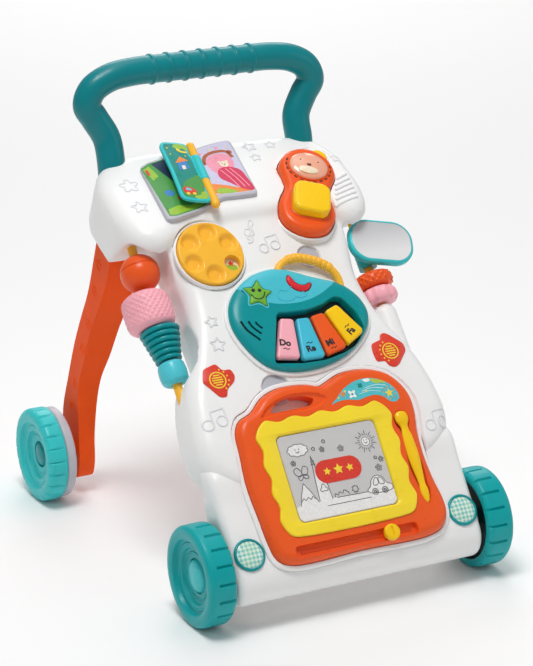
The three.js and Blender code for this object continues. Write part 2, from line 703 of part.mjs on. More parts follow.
const drawScreen = () => slab(screenOutline(-GAP), [[-3, 0], [-0.4, 0]]);
const boardBack = () => slab(panelOutline(-2 * GAP), [[-BOARD_T + 0.4, 0], [-BOARD_T + 3.4, 0]]);
const eraserKnob = () => cut(
  turned([[0, -4.7], [5.4, -4.7], [5.4, 0.3], [8.5, 0.5], [8.5, 4.5], [7, 6], [0, 6]], 20),
  box(2, 11, 3, [0, 0, 6]),
);
const trayBlock = (grow, levels) => put(slab(insetOutline(CASE_OUTLINE, -grow), levels), BOARD);

// ---- Wheels -------------------------------------------------------------------------
const AXLE_FIT = 0.15;
const BORE_R = AXLE_R + AXLE_FIT;
const wheelRing = (outer, inner, from, to) => [
  [inner, from], [outer - 6.5, from], [outer - 1.5, from + 1.5], [outer, from + 5],
  [outer, to - 5], [outer - 1.5, to - 1.5], [outer - 6.5, to],
];

function frontTyre() {
  const h = WHEEL_W / 2;
  return turnedX([
    ...wheelRing(WHEEL_R, WHEEL_R - 9, -h, h),
    [37, h - 1], [36, 9], [28, 8.5], [27, 5.5], [17.2, 5.5], [17.2, 2], [BORE_R, 2], [BORE_R, -12],
    [9, -12], [9, -2], [38, -2], [WHEEL_R - 9, -h],
  ], 20);
}

function rearTyre() {
  return turnedX([
    ...wheelRing(WHEEL_R, 20, -5, 16),
    [36, 15], [35, 12], [26, 11.5], [25, 8], [14.2, 7], [14.2, 2], [BORE_R, 2], [BORE_R, -5], [20, -5],
  ], 20);
}

const rearDisc = () => turnedX([
  [BORE_R, -14], [12, -14], [30, -16], [46, -16], [48.5, -14], [48.5, -7], [47, -5.3],
  [BORE_R, -5.3], [BORE_R, -14],
], 20);
const capDome = (radius, from) => turnedX([
  [0, from], [radius, from], [radius, from + 3], [radius * 0.75, from + 6], [0, from + 7.5],
], 16);

// ---- Assembly -----------------------------------------------------------------------
function buildShells() {
  const bars = [handleBar(GAP), legBlock(1, GAP), legBlock(-1, GAP), rodBar(-1, GAP), rodBar(1, GAP)];
  const trayRoom = trayBlock(TRAY_RIM + GAP, [[TRAY_LOW - 0.4, 0], [ABOVE_ALL, 0]]);
  const phoneRoom = put(
    slab(insetOutline(phoneOutline(), -GAP), [[PHONE_LOW - 1, 0], [ABOVE_ALL, 0]]),
    phonePlace,
    PHONE,
  );
  const phoneRim = put(
    slab(insetOutline(phoneOutline(), -3), [[PHONE_LOW, 0], [PHONE_TOP - 11, 0], [PHONE_TOP - 10, 1]]),
    phonePlace,
    PHONE,
  );
  const trayBoss = trayBlock(TRAY_RIM + GAP + WALL, [[TRAY_LOW - 0.4 - WALL, 0], [ABOVE_ALL, 0]]);
  const hollow = cut(bodyBlock(WALL, 20), trayBoss);
  const shell = join(cut(bodyBlock(0, 0), hollow), phoneRim);
  const socketRoom = put(rodSocketRoom(), rodFrame(1));
  const axleHole = put(axleRod(-200, 200, GAP), shift(0, 0, WHEEL_R));
  add('front_shell', cut(shell, phoneRoom, trayRoom, baseBlock(-GAP), ...bars, socketRoom), WHITE, 0.35);
  add('base_shell', cut(baseBlock(0), baseBlock(WALL), trayRoom, axleHole), WHITE, 0.35);
  const lid = join(
    put(slab(BODY_OUTLINE, [[-FACE_DEPTH, 0], [-FACE_DEPTH + WALL, 0]]), FACE),
    put(slab(HEAD_OUTLINE, [[-HEAD_DEPTH, 0], [-HEAD_DEPTH + WALL, 0]]), HEAD),
  );
  const inside = cut(bodyBlock(WALL + GAP, 20), trayBoss);
  const phoneHole = put(phoneBase(), phonePlace, PHONE);
  add('back_cover', cut(common(lid, inside), baseBlock(-GAP), ...bars, phoneHole), WHITE, 0.4);
  const tray = trayBlock(TRAY_RIM, [[TRAY_LOW, 0], [TRAY_TOP - 1.5, 0], [TRAY_TOP, 1.5]]);
  add('board_tray', cut(tray, trayBlock(0.5, [[-BOARD_T - 0.4, 0], [ABOVE_ALL, 0]])), WHITE, 0.35);
}

const rodSocketRoom = () => turned([[0, 0], [12.4, 0], [12.4, 64], [0, 64]], 16);

function buildFrame() {
  add('handle', handle(), TEAL, 0.35);
  const rearAxleHole = put(axleRod(-170, 170, 0.2), shift(0, REAR_AXLE_Y, WHEEL_R));
  add('left_leg', cut(legBlock(-1, 0), rearAxleHole), ORANGE, 0.35);
  add('right_leg', cut(legBlock(1, 0), rearAxleHole), ORANGE, 0.35);
  const half = FRONT_WHEEL_X + 1.7;
  add('front_axle', axleRod(-half, half), STEEL, 0.3, 1).position.z = WHEEL_R;
  for (const [name, side] of [['left_rear_axle', -1], ['right_rear_axle', 1]]) {
    const ends = [side * (LEG_OUTER_X - 16), side * (REAR_WHEEL_X + 1.7)].sort((a, b) => a - b);
    add(name, axleRod(...ends), STEEL, 0.3, 1).position.set(0, REAR_AXLE_Y, WHEEL_R);
  }
}

function buildWheels() {
  const front = frontTyre();
  const rear = rearTyre();
  for (const [label, side] of [['left', -1], ['right', 1]]) {
    const turn = new THREE.Matrix4().makeRotationZ(side > 0 ? 0 : Math.PI);
    const frontWheel = subGroup(shift(side * FRONT_WHEEL_X, 0, WHEEL_R).multiply(turn));
    add(`front_${label}_tyre`, front, TEAL, 0.5, 0, frontWheel);
    add(`front_${label}_cap`, capDome(16.8, 2.3), TURQUOISE, 0.3, 0, frontWheel);
    const rearWheel = subGroup(shift(side * REAR_WHEEL_X, REAR_AXLE_Y, WHEEL_R).multiply(turn));
    add(`rear_${label}_tyre`, rear, TURQUOISE, 0.5, 0, rearWheel);
    add(`rear_${label}_disc`, rearDisc(), GREY, 0.4, 0, rearWheel);
    add(`rear_${label}_cap`, capDome(13.8, 2.3), TEAL, 0.3, 0, rearWheel);
  }
}

function buildRods() {
  add('left_rod', rodBar(-1, 0), AMBER, 0.4);
  add('right_rod', rodBar(1, 0), AMBER, 0.4);
  const left = subGroup(rodFrame(-1));
  add('ball_bead', ballBead(), ORANGE, 0.3, 0, left);
  add('textured_roller', put(roller(), shift(-ROLLER_HANG, 0, 0)), PINK, 0.5, 0, left);
  add('ribbed_cone', ribbedCone(), TEAL, 0.35, 0, left);
  add('barrel_bead', barrel(), TURQUOISE, 0.35, 0, left);
  const right = subGroup(rodFrame(1));
  add('spiky_ring', spikyRing(), ORANGE, 0.4, 0, right);
  add('smooth_ring', smoothRing(), PINK, 0.4, 0, right);
  add('rod_socket', rodSocket(), WHITE, 0.4, 0, right);
  add('mirror_frame', mirrorFrame(), TURQUOISE, 0.35);
  add('mirror_plate', mirrorPlate(), MIRROR, 0.05, 1, faceGroup);
}

function buildConsole() {
  const phone = subGroup(phonePlace, phoneGroup);
  add('phone_base', cut(phoneBase(), buttonWell()), ORANGE, 0.35, 0, phone);
  add('phone_button', phoneButton(), YELLOW, 0.35, 0, phone);
  add('phone_dome', phoneDome(), PEACH, 0.3, 0, phone);
  add('book_tray', bookTray(), PALE_GREY, 0.4, 0, headGroup);
  const book = subGroup(spinePlace, headGroup);
  add('lower_knuckle', endKnuckle(KNUCKLES.low), AMBER, 0.4, 0, book);
  add('upper_knuckle', endKnuckle(KNUCKLES.high), AMBER, 0.4, 0, book);
  add('page_pin', pinBar(-PIN_HALF, PIN_HALF, PIN_R), STEEL, 0.3, 1, book);
  add('flip_page', flipPage(), TURQUOISE, 0.35, 0, book);
}

function buildDial() {
  const dial = subGroup(dialPlace, faceGroup);
  add('rotary_dial', dialDisc(), AMBER, 0.35, 0, dial);
  add('picture_disc', pictureDisc(), PICTURE, 0.5, 0, dial);
  add('dial_rim', dialRim(), WHITE, 0.4, 0, dial);
}

function buildPiano() {
  add('piano_case', pianoCase(), TEAL, 0.35, 0, faceGroup);
  add('piano_base', pianoBase(), WHITE, 0.4, 0, faceGroup);
  add('battery_door', slab(BATTERY_DOOR, [[GAP, 0], [1.6, 0]]), GREY, 0.5, 0, faceGroup);
  add('carry_handle', carryHandle(0), AMBER, 0.4, 0, faceGroup);
  add('star_button', slab(starOutline(15), [[6.4, 0], [13, 0], [14, 1]]), GREEN, 0.4, 0, faceGroup);
  add('moon_button', slab(moonOutline(), [[6.4, 0], [12.8, 0], [13.6, 0.8]]), RED, 0.4, 0, faceGroup);
  for (const [name, { color, outline }] of Object.entries(KEYS)) {
    add(name, slab(outline, [[7, 0], [12, 0], [13.5, 1.5]]), color, 0.35, 0, faceGroup);
  }
  const speakerGroup = subGroup(shift(-44, 52, 0), faceGroup);
  add('speaker', turned([[0, 3.4], [13, 3.4], [13, 5], [8, 7.6], [0, 7.6]], 20), DARK, 0.5, 0, speakerGroup);
  add('circuit_board', box(36, 12, 1.4, [18, 64.5, 4.4]), CIRCUIT, 0.5, 0, faceGroup);
}

function buildBoard() {
  add('board_case', boardCase(), ORANGE, 0.35, 0, boardGroup);
  add('board_frame', boardFrame(), YELLOW, 0.35, 0, boardGroup);
  add('drawing_screen', drawScreen(), SCREEN_FILM, 0.6, 0, boardGroup);
  add('board_back', boardBack(), ORANGE, 0.4, 0, boardGroup);
  const penLevels = [[-5, 1.2], [-3.5, 0], [1.5, 0], [3, 1.5]];
  add('magic_pen', slab(PEN_OUTLINE, penLevels), YELLOW, 0.35, 0, boardGroup);
  add('eraser_knob', put(eraserKnob(), shift(28, -27, 0)), YELLOW, 0.35, 0, boardGroup);
}

buildShells();
buildFrame();
buildWheels();
buildRods();
buildConsole();
buildDial();
buildPiano();
buildBoard();

const bounds = new THREE.Box3().setFromObject(walker, true);
const middle = bounds.getCenter(new THREE.Vector3());
walker.position.set(-middle.x, -middle.y, -bounds.min.z);

export default walker;
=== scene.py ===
"""Baby walker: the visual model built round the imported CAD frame."""
import math

import bmesh
import bpy
from mathutils import Matrix, Vector
from mathutils.bvhtree import BVHTree
from mathutils.geometry import tessellate_polygon


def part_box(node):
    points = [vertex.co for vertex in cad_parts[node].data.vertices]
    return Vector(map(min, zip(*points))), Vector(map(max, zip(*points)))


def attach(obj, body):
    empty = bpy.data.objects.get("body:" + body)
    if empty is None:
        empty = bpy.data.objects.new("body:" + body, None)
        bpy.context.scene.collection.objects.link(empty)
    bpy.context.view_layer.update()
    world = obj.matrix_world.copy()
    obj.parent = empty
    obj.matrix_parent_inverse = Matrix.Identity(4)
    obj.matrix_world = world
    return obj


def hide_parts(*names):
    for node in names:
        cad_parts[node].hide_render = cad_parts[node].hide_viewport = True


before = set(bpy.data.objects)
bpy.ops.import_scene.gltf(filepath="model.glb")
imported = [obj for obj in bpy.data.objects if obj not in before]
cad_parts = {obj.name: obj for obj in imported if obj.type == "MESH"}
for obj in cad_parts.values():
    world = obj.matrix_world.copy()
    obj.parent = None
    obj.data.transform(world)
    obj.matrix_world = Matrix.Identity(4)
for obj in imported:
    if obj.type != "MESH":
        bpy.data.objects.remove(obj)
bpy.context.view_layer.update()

MM = 0.001
SIDES = ((-1, "left"), (1, "right"))
axle_low, axle_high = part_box("front_axle")
DATUM = Vector(((axle_low.x + axle_high.x) / 2, (axle_low.y + axle_high.y) / 2, 0))


# ---- Frames: millimetres, x along X, y up the slope, z out of the slope
def shift(x, y, z=0):
    return Matrix.Translation((x, y, z))


def turn(degrees, axis="Z"):
    return Matrix.Rotation(math.radians(degrees), 4, axis)


def slope(tilt, y, z):
    return Matrix.Translation(DATUM + Vector((0, y, z)) * MM) @ turn(90 - tilt, "X") @ Matrix.Scale(MM, 4)


WORLD = Matrix.Translation(DATUM) @ Matrix.Scale(MM, 4)
FACE = slope(44, 76.5, 212.4)
SKIRT = slope(37.2, -34.6, 78.4)
HEAD = slope(66, 240, 364)
BOARD = slope(37.2, -27.9, 95.4)
BASE_FACE = slope(37.2, -29.8, 74.8)
PHONE_PLANE = slope(56, 232, 362)
PHONE = PHONE_PLANE @ shift(84, -2) @ turn(-24)
SPINE = HEAD @ shift(-33.5, -3) @ turn(-8.4)
DIAL = FACE @ shift(-59.5, 132)
DIAL_R = 34.6

ROD_LOW, ROD_TOP = (97.6, 187.0), (211.8, 314.5)
ROD_X, ROD_R = 124, 4.5
ROD_LENGTH = math.hypot(ROD_TOP[0] - ROD_LOW[0], ROD_TOP[1] - ROD_LOW[1])
ROD_LEAN = math.atan2(ROD_TOP[0] - ROD_LOW[0], ROD_TOP[1] - ROD_LOW[1])


def rod_frame(side):
    return WORLD @ shift(side * ROD_X, *ROD_LOW) @ Matrix.Rotation(-ROD_LEAN, 4, "X")


# ---- Outlines
def area(points):
    return sum(a[0] * b[1] - b[0] * a[1] for a, b in zip(points, points[1:] + points[:1])) / 2


def polar(radius, degrees, at=(0, 0)):
    """The point at a distance and an angle from another."""
    a = math.radians(degrees)
    return at[0] + radius * math.cos(a), at[1] + radius * math.sin(a)


def spaced(points, count, closed=True):
    """count points at even spacing along a polyline."""
    ring = points + points[:1] if closed else points
    runs = [0.0]
    for a, b in zip(ring, ring[1:]):
        runs.append(runs[-1] + (Vector(b) - Vector(a)).length)
    steps = count if closed else count - 1
    found, k = [], 0
    for i in range(count):
        s = runs[-1] * i / steps
        while k < len(runs) - 2 and runs[k + 1] < s:
            k += 1
        t = (s - runs[k]) / max(runs[k + 1] - runs[k], 1e-9)
        found.append(tuple(Vector(ring[k]).lerp(Vector(ring[k + 1]), min(t, 1))))
    return found


def smooth(points, count, closed=True, fine=14):
    """A centripetal Catmull-Rom curve through the points, as count evenly spaced points."""
    n = len(points)
    pts = [Vector(p) for p in points]
    out = []
    for i in range(n if closed else n - 1):
        if closed:
            p0, p1, p2, p3 = (pts[(i + k) % n] for k in (-1, 0, 1, 2))
        else:
            p1, p2 = pts[i], pts[i + 1]
            p0 = pts[i - 1] if i > 0 else p1 * 2 - p2
            p3 = pts[i + 2] if i + 2 < n else p2 * 2 - p1
        d0, d1, d2 = (max((b - a).length ** 0.5, 1e-4) for a, b in ((p0, p1), (p1, p2), (p2, p3)))
        m1 = ((p1 - p0) / d0 - (p2 - p0) / (d0 + d1) + (p2 - p1) / d1) * d1
        m2 = ((p2 - p1) / d1 - (p3 - p1) / (d1 + d2) + (p3 - p2) / d2) * d1
        for k in range(fine):
            t = k / fine
            t2, t3 = t * t, t * t * t
            out.append(tuple(p1 * (2 * t3 - 3 * t2 + 1) + m1 * (t3 - 2 * t2 + t)
                             + p2 * (3 * t2 - 2 * t3) + m2 * (t3 - t2)))
    if not closed:
        out.append(tuple(pts[-1]))
    found = spaced(out, count, closed)
    if closed and len(found[0]) == 2 and area(found) < 0:
        found.reverse()
    return found


def mirrored(half):
    return half + [(-x, y) for x, y in reversed(half) if x > 0.01]


def inset(points, by):
    found = []
    for i, (x, y) in enumerate(points):
        a, b = Vector(points[i - 1]), Vector(points[(i + 1) % len(points)])
        u = (Vector((x, y)) - a).normalized()
        v = (b - Vector((x, y))).normalized()
        normal = Vector((-u.y - v.y, u.x + v.x)).normalized()
        spread = max(0.5, math.sqrt(max(0, (1 + u.dot(v)) / 2)))
        found.append((x + normal.x * by / spread, y + normal.y * by / spread))
    return found


def rounded_rect(width, height, radius, at=(0, 0), steps=8):
    points = []
    for sx, sy, start in ((1, -1, -90), (1, 1, 0), (-1, 1, 90), (-1, -1, 180)):
        corner = at[0] + sx * (width / 2 - radius), at[1] + sy * (height / 2 - radius)
        points += [polar(radius, start + 90 * i / steps, corner) for i in range(steps + 1)]
    return points


def circle(radius, at=(0, 0), count=48):
    return [polar(radius, 360 * i / count, at) for i in range(count)]


def star(outer, inner, at=(0, 0), start=90, count=60):
    return smooth([polar(inner if i % 2 else outer, start + 36 * i, at) for i in range(10)], count)


def flower(radius, at=(0, 0), petals=5, depth=0.28, start=90, count=70):
    def reach(degrees):
        return radius * (1 + depth * math.cos(petals * math.radians(degrees))) / (1 + depth)
    return [polar(reach(360 * i / count), 360 * i / count + start, at) for i in range(count)]


def polyline(points, width):
    """The outline of a stroke of a given width along a polyline."""
    left, right = [], []
    for i, p in enumerate(points):
        a = Vector(points[max(i - 1, 0)])
        b = Vector(points[min(i + 1, len(points) - 1)])
        across = (b - a).normalized() * width / 2
        left.append((p[0] - across.y, p[1] + across.x))
        right.append((p[0] + across.y, p[1] - across.x))
    return right + left[::-1]


def rounded_profile(points, radius=0.8, steps=3, closed=False):
    """Cuts each corner of a profile or an outline with a small curve."""
    found = []
    n = len(points)
    for i, p in enumerate(points):
        if not closed and i in (0, n - 1):
            found.append(p)
            continue
        p, a, b = Vector(p), Vector(points[i - 1]), Vector(points[(i + 1) % n])
        r = min(radius, (a - p).length * 0.45, (b - p).length * 0.45)
        start, end = p + (a - p).normalized() * r, p + (b - p).normalized() * r
        for k in range(steps + 1):
            t = k / steps
            found.append(tuple(start * (1 - t) ** 2 + p * 2 * t * (1 - t) + end * t * t))
    return found


# ---- Solids: (vertices, faces) in millimetres
def caps(ring):
    """The triangles that fill a flat ring of points, turning as the ring does."""
    found = []
    for a, b, c in tessellate_polygon([[Vector(p) for p in ring]]):
        turns = area([ring[i][:2] for i in (a, b, c)])
        found.append((a, b, c) if turns > 0 else (a, c, b))
    return found


def slab(outline, levels):
    """A solid of one outline: each level is a height and how far the outline is drawn in there."""
    if area(outline) < 0:
        outline = outline[::-1]
    n = len(outline)
    verts, faces = [], []
    for z, by in levels:
        verts += [(x, y, z) for x, y in (inset(outline, by) if by else outline)]
    for low in range(0, n * (len(levels) - 1), n):
        for i in range(n):
            j = (i + 1) % n
            faces.append((low + i, low + j, low + n + j, low + n + i))
    top = n * (len(levels) - 1)
    faces += [(c, b, a) for a, b, c in caps(verts[:n])]
    faces += [(top + a, top + b, top + c) for a, b, c in caps(verts[top:])]
    return verts, faces


def plate(outline, low, high):
    return slab(outline, [(low, 0), (high, 0)])


def rounding(low, high, radius, steps=6, low_radius=0):
    def arc(r, z, sign):
        return [(z - sign * r * (1 - math.sin(a)), r * (1 - math.cos(a)))
                for a in (math.pi / 2 * i / steps for i in range(steps + 1))]
    lower = arc(low_radius, low, -1)[::-1] if low_radius else [(low, 0)]
    return lower + arc(radius, high, 1)


def turned(profile, segments=96, bump=None):
    """A solid turned about z from [radius, z] points; bump(angle, radius, z) changes the radius."""
    verts, rings = [], []
    for r, z in profile:
        count = segments if r > 1e-6 else 1
        rings.append(list(range(len(verts), len(verts) + count)))
        for i in range(count):
            a = 2 * math.pi * i / segments
            s = r + (bump(a, r, z) if bump else 0)
            verts.append((s * math.cos(a), s * math.sin(a), z))
    pairs = list(zip(rings, rings[1:]))
    if len(rings[0]) > 1:
        pairs.append((rings[-1], rings[0]))
    faces = []
    for low, high in pairs:
        for i in range(segments):
            j = (i + 1) % segments
            corners = low[i % len(low)], low[j % len(low)], high[j % len(high)], high[i % len(high)]
            if len(set(corners)) > 2:
                faces.append(tuple(dict.fromkeys(corners)))
    return verts, faces


def hoop(points, radius, segments, steps=3, bump=None):
    """A ring turned from a closed profile with small rounded corners."""
    return turned(rounded_profile(points, radius, steps, closed=True), segments, bump)


def cylinder(radius, low, high, segments=48):
    return turned([(0, low), (radius, low), (radius, high), (0, high)], segments)


def tube(path, radius, sides=12, closed=False):
    """A round bar along a path; radius is a number or a list, one for each point."""
    pts = [Vector(p) for p in path]
    n = len(pts)
    radii = radius if isinstance(radius, list) else [radius] * n
    tangents = []
    for i in range(n):
        a = pts[(i - 1) % n] if closed or i else pts[0]
        b = pts[(i + 1) % n] if closed or i < n - 1 else pts[-1]
        tangents.append((b - a).normalized())
    up = Vector((0, 0, 1)) if abs(tangents[0].z) < 0.9 else Vector((1, 0, 0))
    normal = (up - tangents[0] * up.dot(tangents[0])).normalized()
    verts, faces = [], []
    for i in range(n):
        normal = (normal - tangents[i] * normal.dot(tangents[i])).normalized()
        side = tangents[i].cross(normal)
        for k in range(sides):
            a = 2 * math.pi * k / sides
            verts.append(tuple(pts[i] + (normal * math.cos(a) + side * math.sin(a)) * radii[i]))
    for i in range(n if closed else n - 1):
        j = (i + 1) % n
        for k in range(sides):
            m = (k + 1) % sides
            faces.append((i * sides + k, j * sides + k, j * sides + m, i * sides + m))
    if not closed:
        faces.append(tuple(range(sides)))
        faces.append(tuple((n - 1) * sides + k for k in range(sides - 1, -1, -1)))
    return verts, faces


def rounded_bar(start, end, radius, sides=28):
    """A straight round bar with domed ends."""
    pts = [Vector(p) for p in spaced([start, end], 10, closed=False)]
    domes = ((0.97, 0.3), (0.7, 0.72), (0.35, 0.94))
    first, last = (pts[0] - pts[1]).normalized(), (pts[-1] - pts[-2]).normalized()
    head = [pts[0] + first * radius * reach for reach, _ in domes]
    tail = [pts[-1] + last * radius * reach for reach, _ in reversed(domes)]
    radii = [radius * share for _, share in domes]
    return tube(head + pts + tail, radii + [radius] * len(pts) + radii[::-1], sides)


def ball(radius, at, squash, rings, segments):
    profile = [(0, -radius)]
    for i in range(1, rings):
        a = math.pi * i / rings
        profile.append((radius * math.sin(a), -radius * math.cos(a)))
    verts, faces = turned(profile + [(0, radius)], segments)
    return [tuple(a + v * s for a, v, s in zip(at, vert, squash)) for vert in verts], faces


def moved(solid, *matrices):
    verts = [Vector(v) for v in solid[0]]
    for m in matrices:
        verts = [m @ v for v in verts]
    return [tuple(v) for v in verts], solid[1]


def together(*solids):
    verts, faces = [], []
    for v, f in solids:
        k = len(verts)
        verts += list(v)
        faces += [tuple(i + k for i in face) for face in f]
    return verts, faces


# ---- Objects
def add_object(name, data):
    obj = bpy.data.objects.new(name, data)
    bpy.context.collection.objects.link(obj)
    return obj


def to_object(name, solid, at=WORLD):
    mesh = bpy.data.meshes.new(name)
    mesh.from_pydata([at @ Vector(v) for v in solid[0]], [], solid[1])
    made = bmesh.new()
    made.from_mesh(mesh)
    bmesh.ops.remove_doubles(made, verts=made.verts, dist=2e-6)
    bmesh.ops.recalc_face_normals(made, faces=made.faces)
    made.to_mesh(mesh)
    made.free()
    return add_object(name, mesh)


def settle(obj):
    """Bakes an object's modifiers into its mesh."""
    graph = bpy.context.evaluated_depsgraph_get()
    mesh = bpy.data.meshes.new_from_object(obj.evaluated_get(graph))
    obj.modifiers.clear()
    old, obj.data = obj.data, mesh
    bpy.data.meshes.remove(old)


def combine(obj, *tools, how="DIFFERENCE"):
    for tool in tools:
        step = obj.modifiers.new(how, "BOOLEAN")
        step.operation, step.solver, step.object = how, "EXACT", tool
    settle(obj)
    for tool in tools:
        bpy.data.objects.remove(tool)


def finish(obj, body, material, replaced=None, sharp=32):
    mesh = obj.data
    mesh.materials.clear()
    mesh.materials.append(MATERIALS[material])
    mesh.polygons.foreach_set("use_smooth", [True] * len(mesh.polygons))
    mesh.set_sharp_from_angle(angle=math.radians(sharp))
    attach(obj, body)
    if replaced:
        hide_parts(replaced)
    return obj


def piece(name, solid, at, body, material, replaced=None, sharp=32, cuts=()):
    """One finished piece; cuts are solids in its own frame that are taken out of it."""
    obj = to_object(name, solid, at)
    if cuts:
        combine(obj, *[to_object(name + "_cut", cut, at) for cut in cuts])
    return finish(obj, body, material, replaced, sharp)


# ---- Materials
def rgb(code):
    values = [((code >> s) & 255) / 255 for s in (16, 8, 0)]
    return [v / 12.92 if v < 0.04045 else ((v + 0.055) / 1.055) ** 2.4 for v in values] + [1]


def shade(color, by):
    return [min(1, max(0, c * by)) for c in color[:3]] + [1]


class Nodes:
    """A small helper for building one material's nodes."""

    def __init__(self, name):
        self.material = bpy.data.materials.new(name)
        self.material.use_nodes = True
        self.tree = self.material.node_tree
        self.shader = self.tree.nodes["Principled BSDF"]
        self.coords = self.tree.nodes.new("ShaderNodeTexCoord").outputs["Object"]

    def node(self, kind, **inputs):
        made = self.tree.nodes.new("ShaderNode" + kind)
        for key, value in inputs.items():
            if hasattr(made, key):
                setattr(made, key, value)
            else:
                self.feed(made.inputs[key.replace("_", " ")], value)
        return made

    def feed(self, socket, value):
        if isinstance(value, bpy.types.NodeSocket):
            self.tree.links.new(value, socket)
        else:
            socket.default_value = value

    def noise(self, scale, detail=2, rough=0.5):
        made = self.node("TexNoise", Vector=self.coords, Scale=scale, Detail=detail, Roughness=rough)
        return made.outputs["Fac"]

    def ramp(self, fac, low, high, a, b):
        made = self.node("MapRange", Value=fac, From_Min=low, From_Max=high, To_Min=a, To_Max=b)
        return made.outputs["Result"]

    def mix(self, fac, a, b):
        made = self.tree.nodes.new("ShaderNodeMix")
        made.data_type = "RGBA"
        self.feed(made.inputs["Factor"], fac)
        self.feed(made.inputs[6], a)
        self.feed(made.inputs[7], b)
        return made.outputs[2]

    def maths(self, how, a, b=0.0, c=0.0):
        made = self.tree.nodes.new("ShaderNodeMath")
        made.operation = how
        for socket, value in zip(made.inputs, (a, b, c)):
            self.feed(socket, value)
        return made.outputs[0]

    def turned_coords(self, *angles):
        mapped = self.node("Mapping", Vector=self.coords)
        mapped.inputs["Rotation"].default_value = angles
        return mapped.outputs["Vector"]

    def surface(self, color, haze, smoothest, roughest, **constants):
        """Colour, uneven roughness, and the numbers set on the shader's own sockets."""
        self.feed(self.shader.inputs["Base Color"], color)
        self.feed(self.shader.inputs["Roughness"], self.ramp(haze, 0.3, 0.7, smoothest, roughest))
        for socket, value in constants.items():
            self.shader.inputs[socket.replace("_", " ")].default_value = value

    def bump(self, height, strength, distance):
        made = self.node("Bump", Height=height, Strength=strength, Distance=distance)
        self.feed(self.shader.inputs["Normal"], made.outputs["Normal"])


def plastic(name, code, rough=0.3, coat=0.04, grain=0.05, grain_scale=1400, vary=0.04, metallic=0.0,
            shine=0.3):
    """Moulded plastic: broad tone, blotched gloss and a fine grain."""
    n = Nodes(name)
    color = rgb(code)
    tone = n.ramp(n.noise(18, 3), 0.3, 0.7, 0, 1)
    n.surface(n.mix(tone, shade(color, 1 - vary), shade(color, 1 + vary)), n.noise(60, 4, 0.6),
              rough - 0.05, rough + 0.06, Specular_IOR_Level=shine, Coat_Weight=coat, Coat_Roughness=0.12,
              Metallic=metallic)
    n.bump(n.noise(grain_scale, 2, 0.6), grain, 0.00012)
    return n.material


def printed(name, code, vary=0.09):
    """Printed film: slightly uneven ink under a thin gloss."""
    n = Nodes(name)
    color = rgb(code)
    ink = n.noise(420, 5, 0.7)
    n.surface(n.mix(n.ramp(ink, 0.35, 0.65, 0, 1), shade(color, 1 - vary), shade(color, 1 + vary)),
              n.noise(90, 3), 0.26, 0.4, Coat_Weight=0.25, Coat_Roughness=0.12)
    n.bump(ink, 0.05, 0.00005)
    return n.material


def drawing_film(name):
    """The screen: pale film over two crossed sets of fine slanted dark lines."""
    n = Nodes(name)
    lines = []
    for angle, scale in ((-1.03, 330.0), (1.03, 190.0)):
        wave = n.node("TexWave", Vector=n.turned_coords(0, 0, angle), Scale=scale, Distortion=0.4, Detail=1.0,
                      bands_direction="X")
        lines.append(wave.outputs["Fac"])
    cells = n.maths("MULTIPLY", lines[0], n.maths("MULTIPLY_ADD", lines[1], 0.35, 0.65))
    dark = n.ramp(cells, 0.1, 0.7, 1, 0)
    n.surface(n.mix(dark, rgb(0xE9E7E6), rgb(0xA9A6A6)), n.noise(80, 3), 0.34, 0.46)
    n.bump(cells, 0.1, 0.0001)
    return n.material


def checker(name):
    """A lamp sticker: turquoise and pale squares under a clear dome."""
    n = Nodes(name)
    along = n.turned_coords(math.radians(-52.8), 0, math.radians(45))
    checks = n.node("TexChecker", Vector=along, Scale=330.0, Color1=rgb(0x7CD0C9), Color2=rgb(0xE3F3E6))
    stain = n.ramp(n.noise(60, 2), 0.3, 0.7, 0, 0.3)
    n.surface(n.mix(stain, checks.outputs["Color"], rgb(0xC8E6B9)), n.noise(90, 3), 0.12, 0.2,
              Coat_Weight=1.0, Coat_Roughness=0.04)
    return n.material


# Heights in metres between which the mirror film's painted reflection turns from pale to grey.
MIRROR_LOW, MIRROR_HIGH = 0.286, 0.326


def mirror_film(name):
    """Silvered film with a painted reflection: pale low down and greyer towards its top, as the room would
    show in it.
    """
    n = Nodes(name)
    height = n.node("SeparateXYZ", Vector=n.coords).outputs["Z"]
    # Painted reflection: the base colour fades from pale to grey with height.
    fade = n.ramp(height, MIRROR_LOW, MIRROR_HIGH, 0, 1)
    n.surface(n.mix(fade, rgb(0xF4F4F5), rgb(0xA9AAAF)), n.noise(25, 3), 0.16, 0.26, Metallic=0.15)
    return n.material


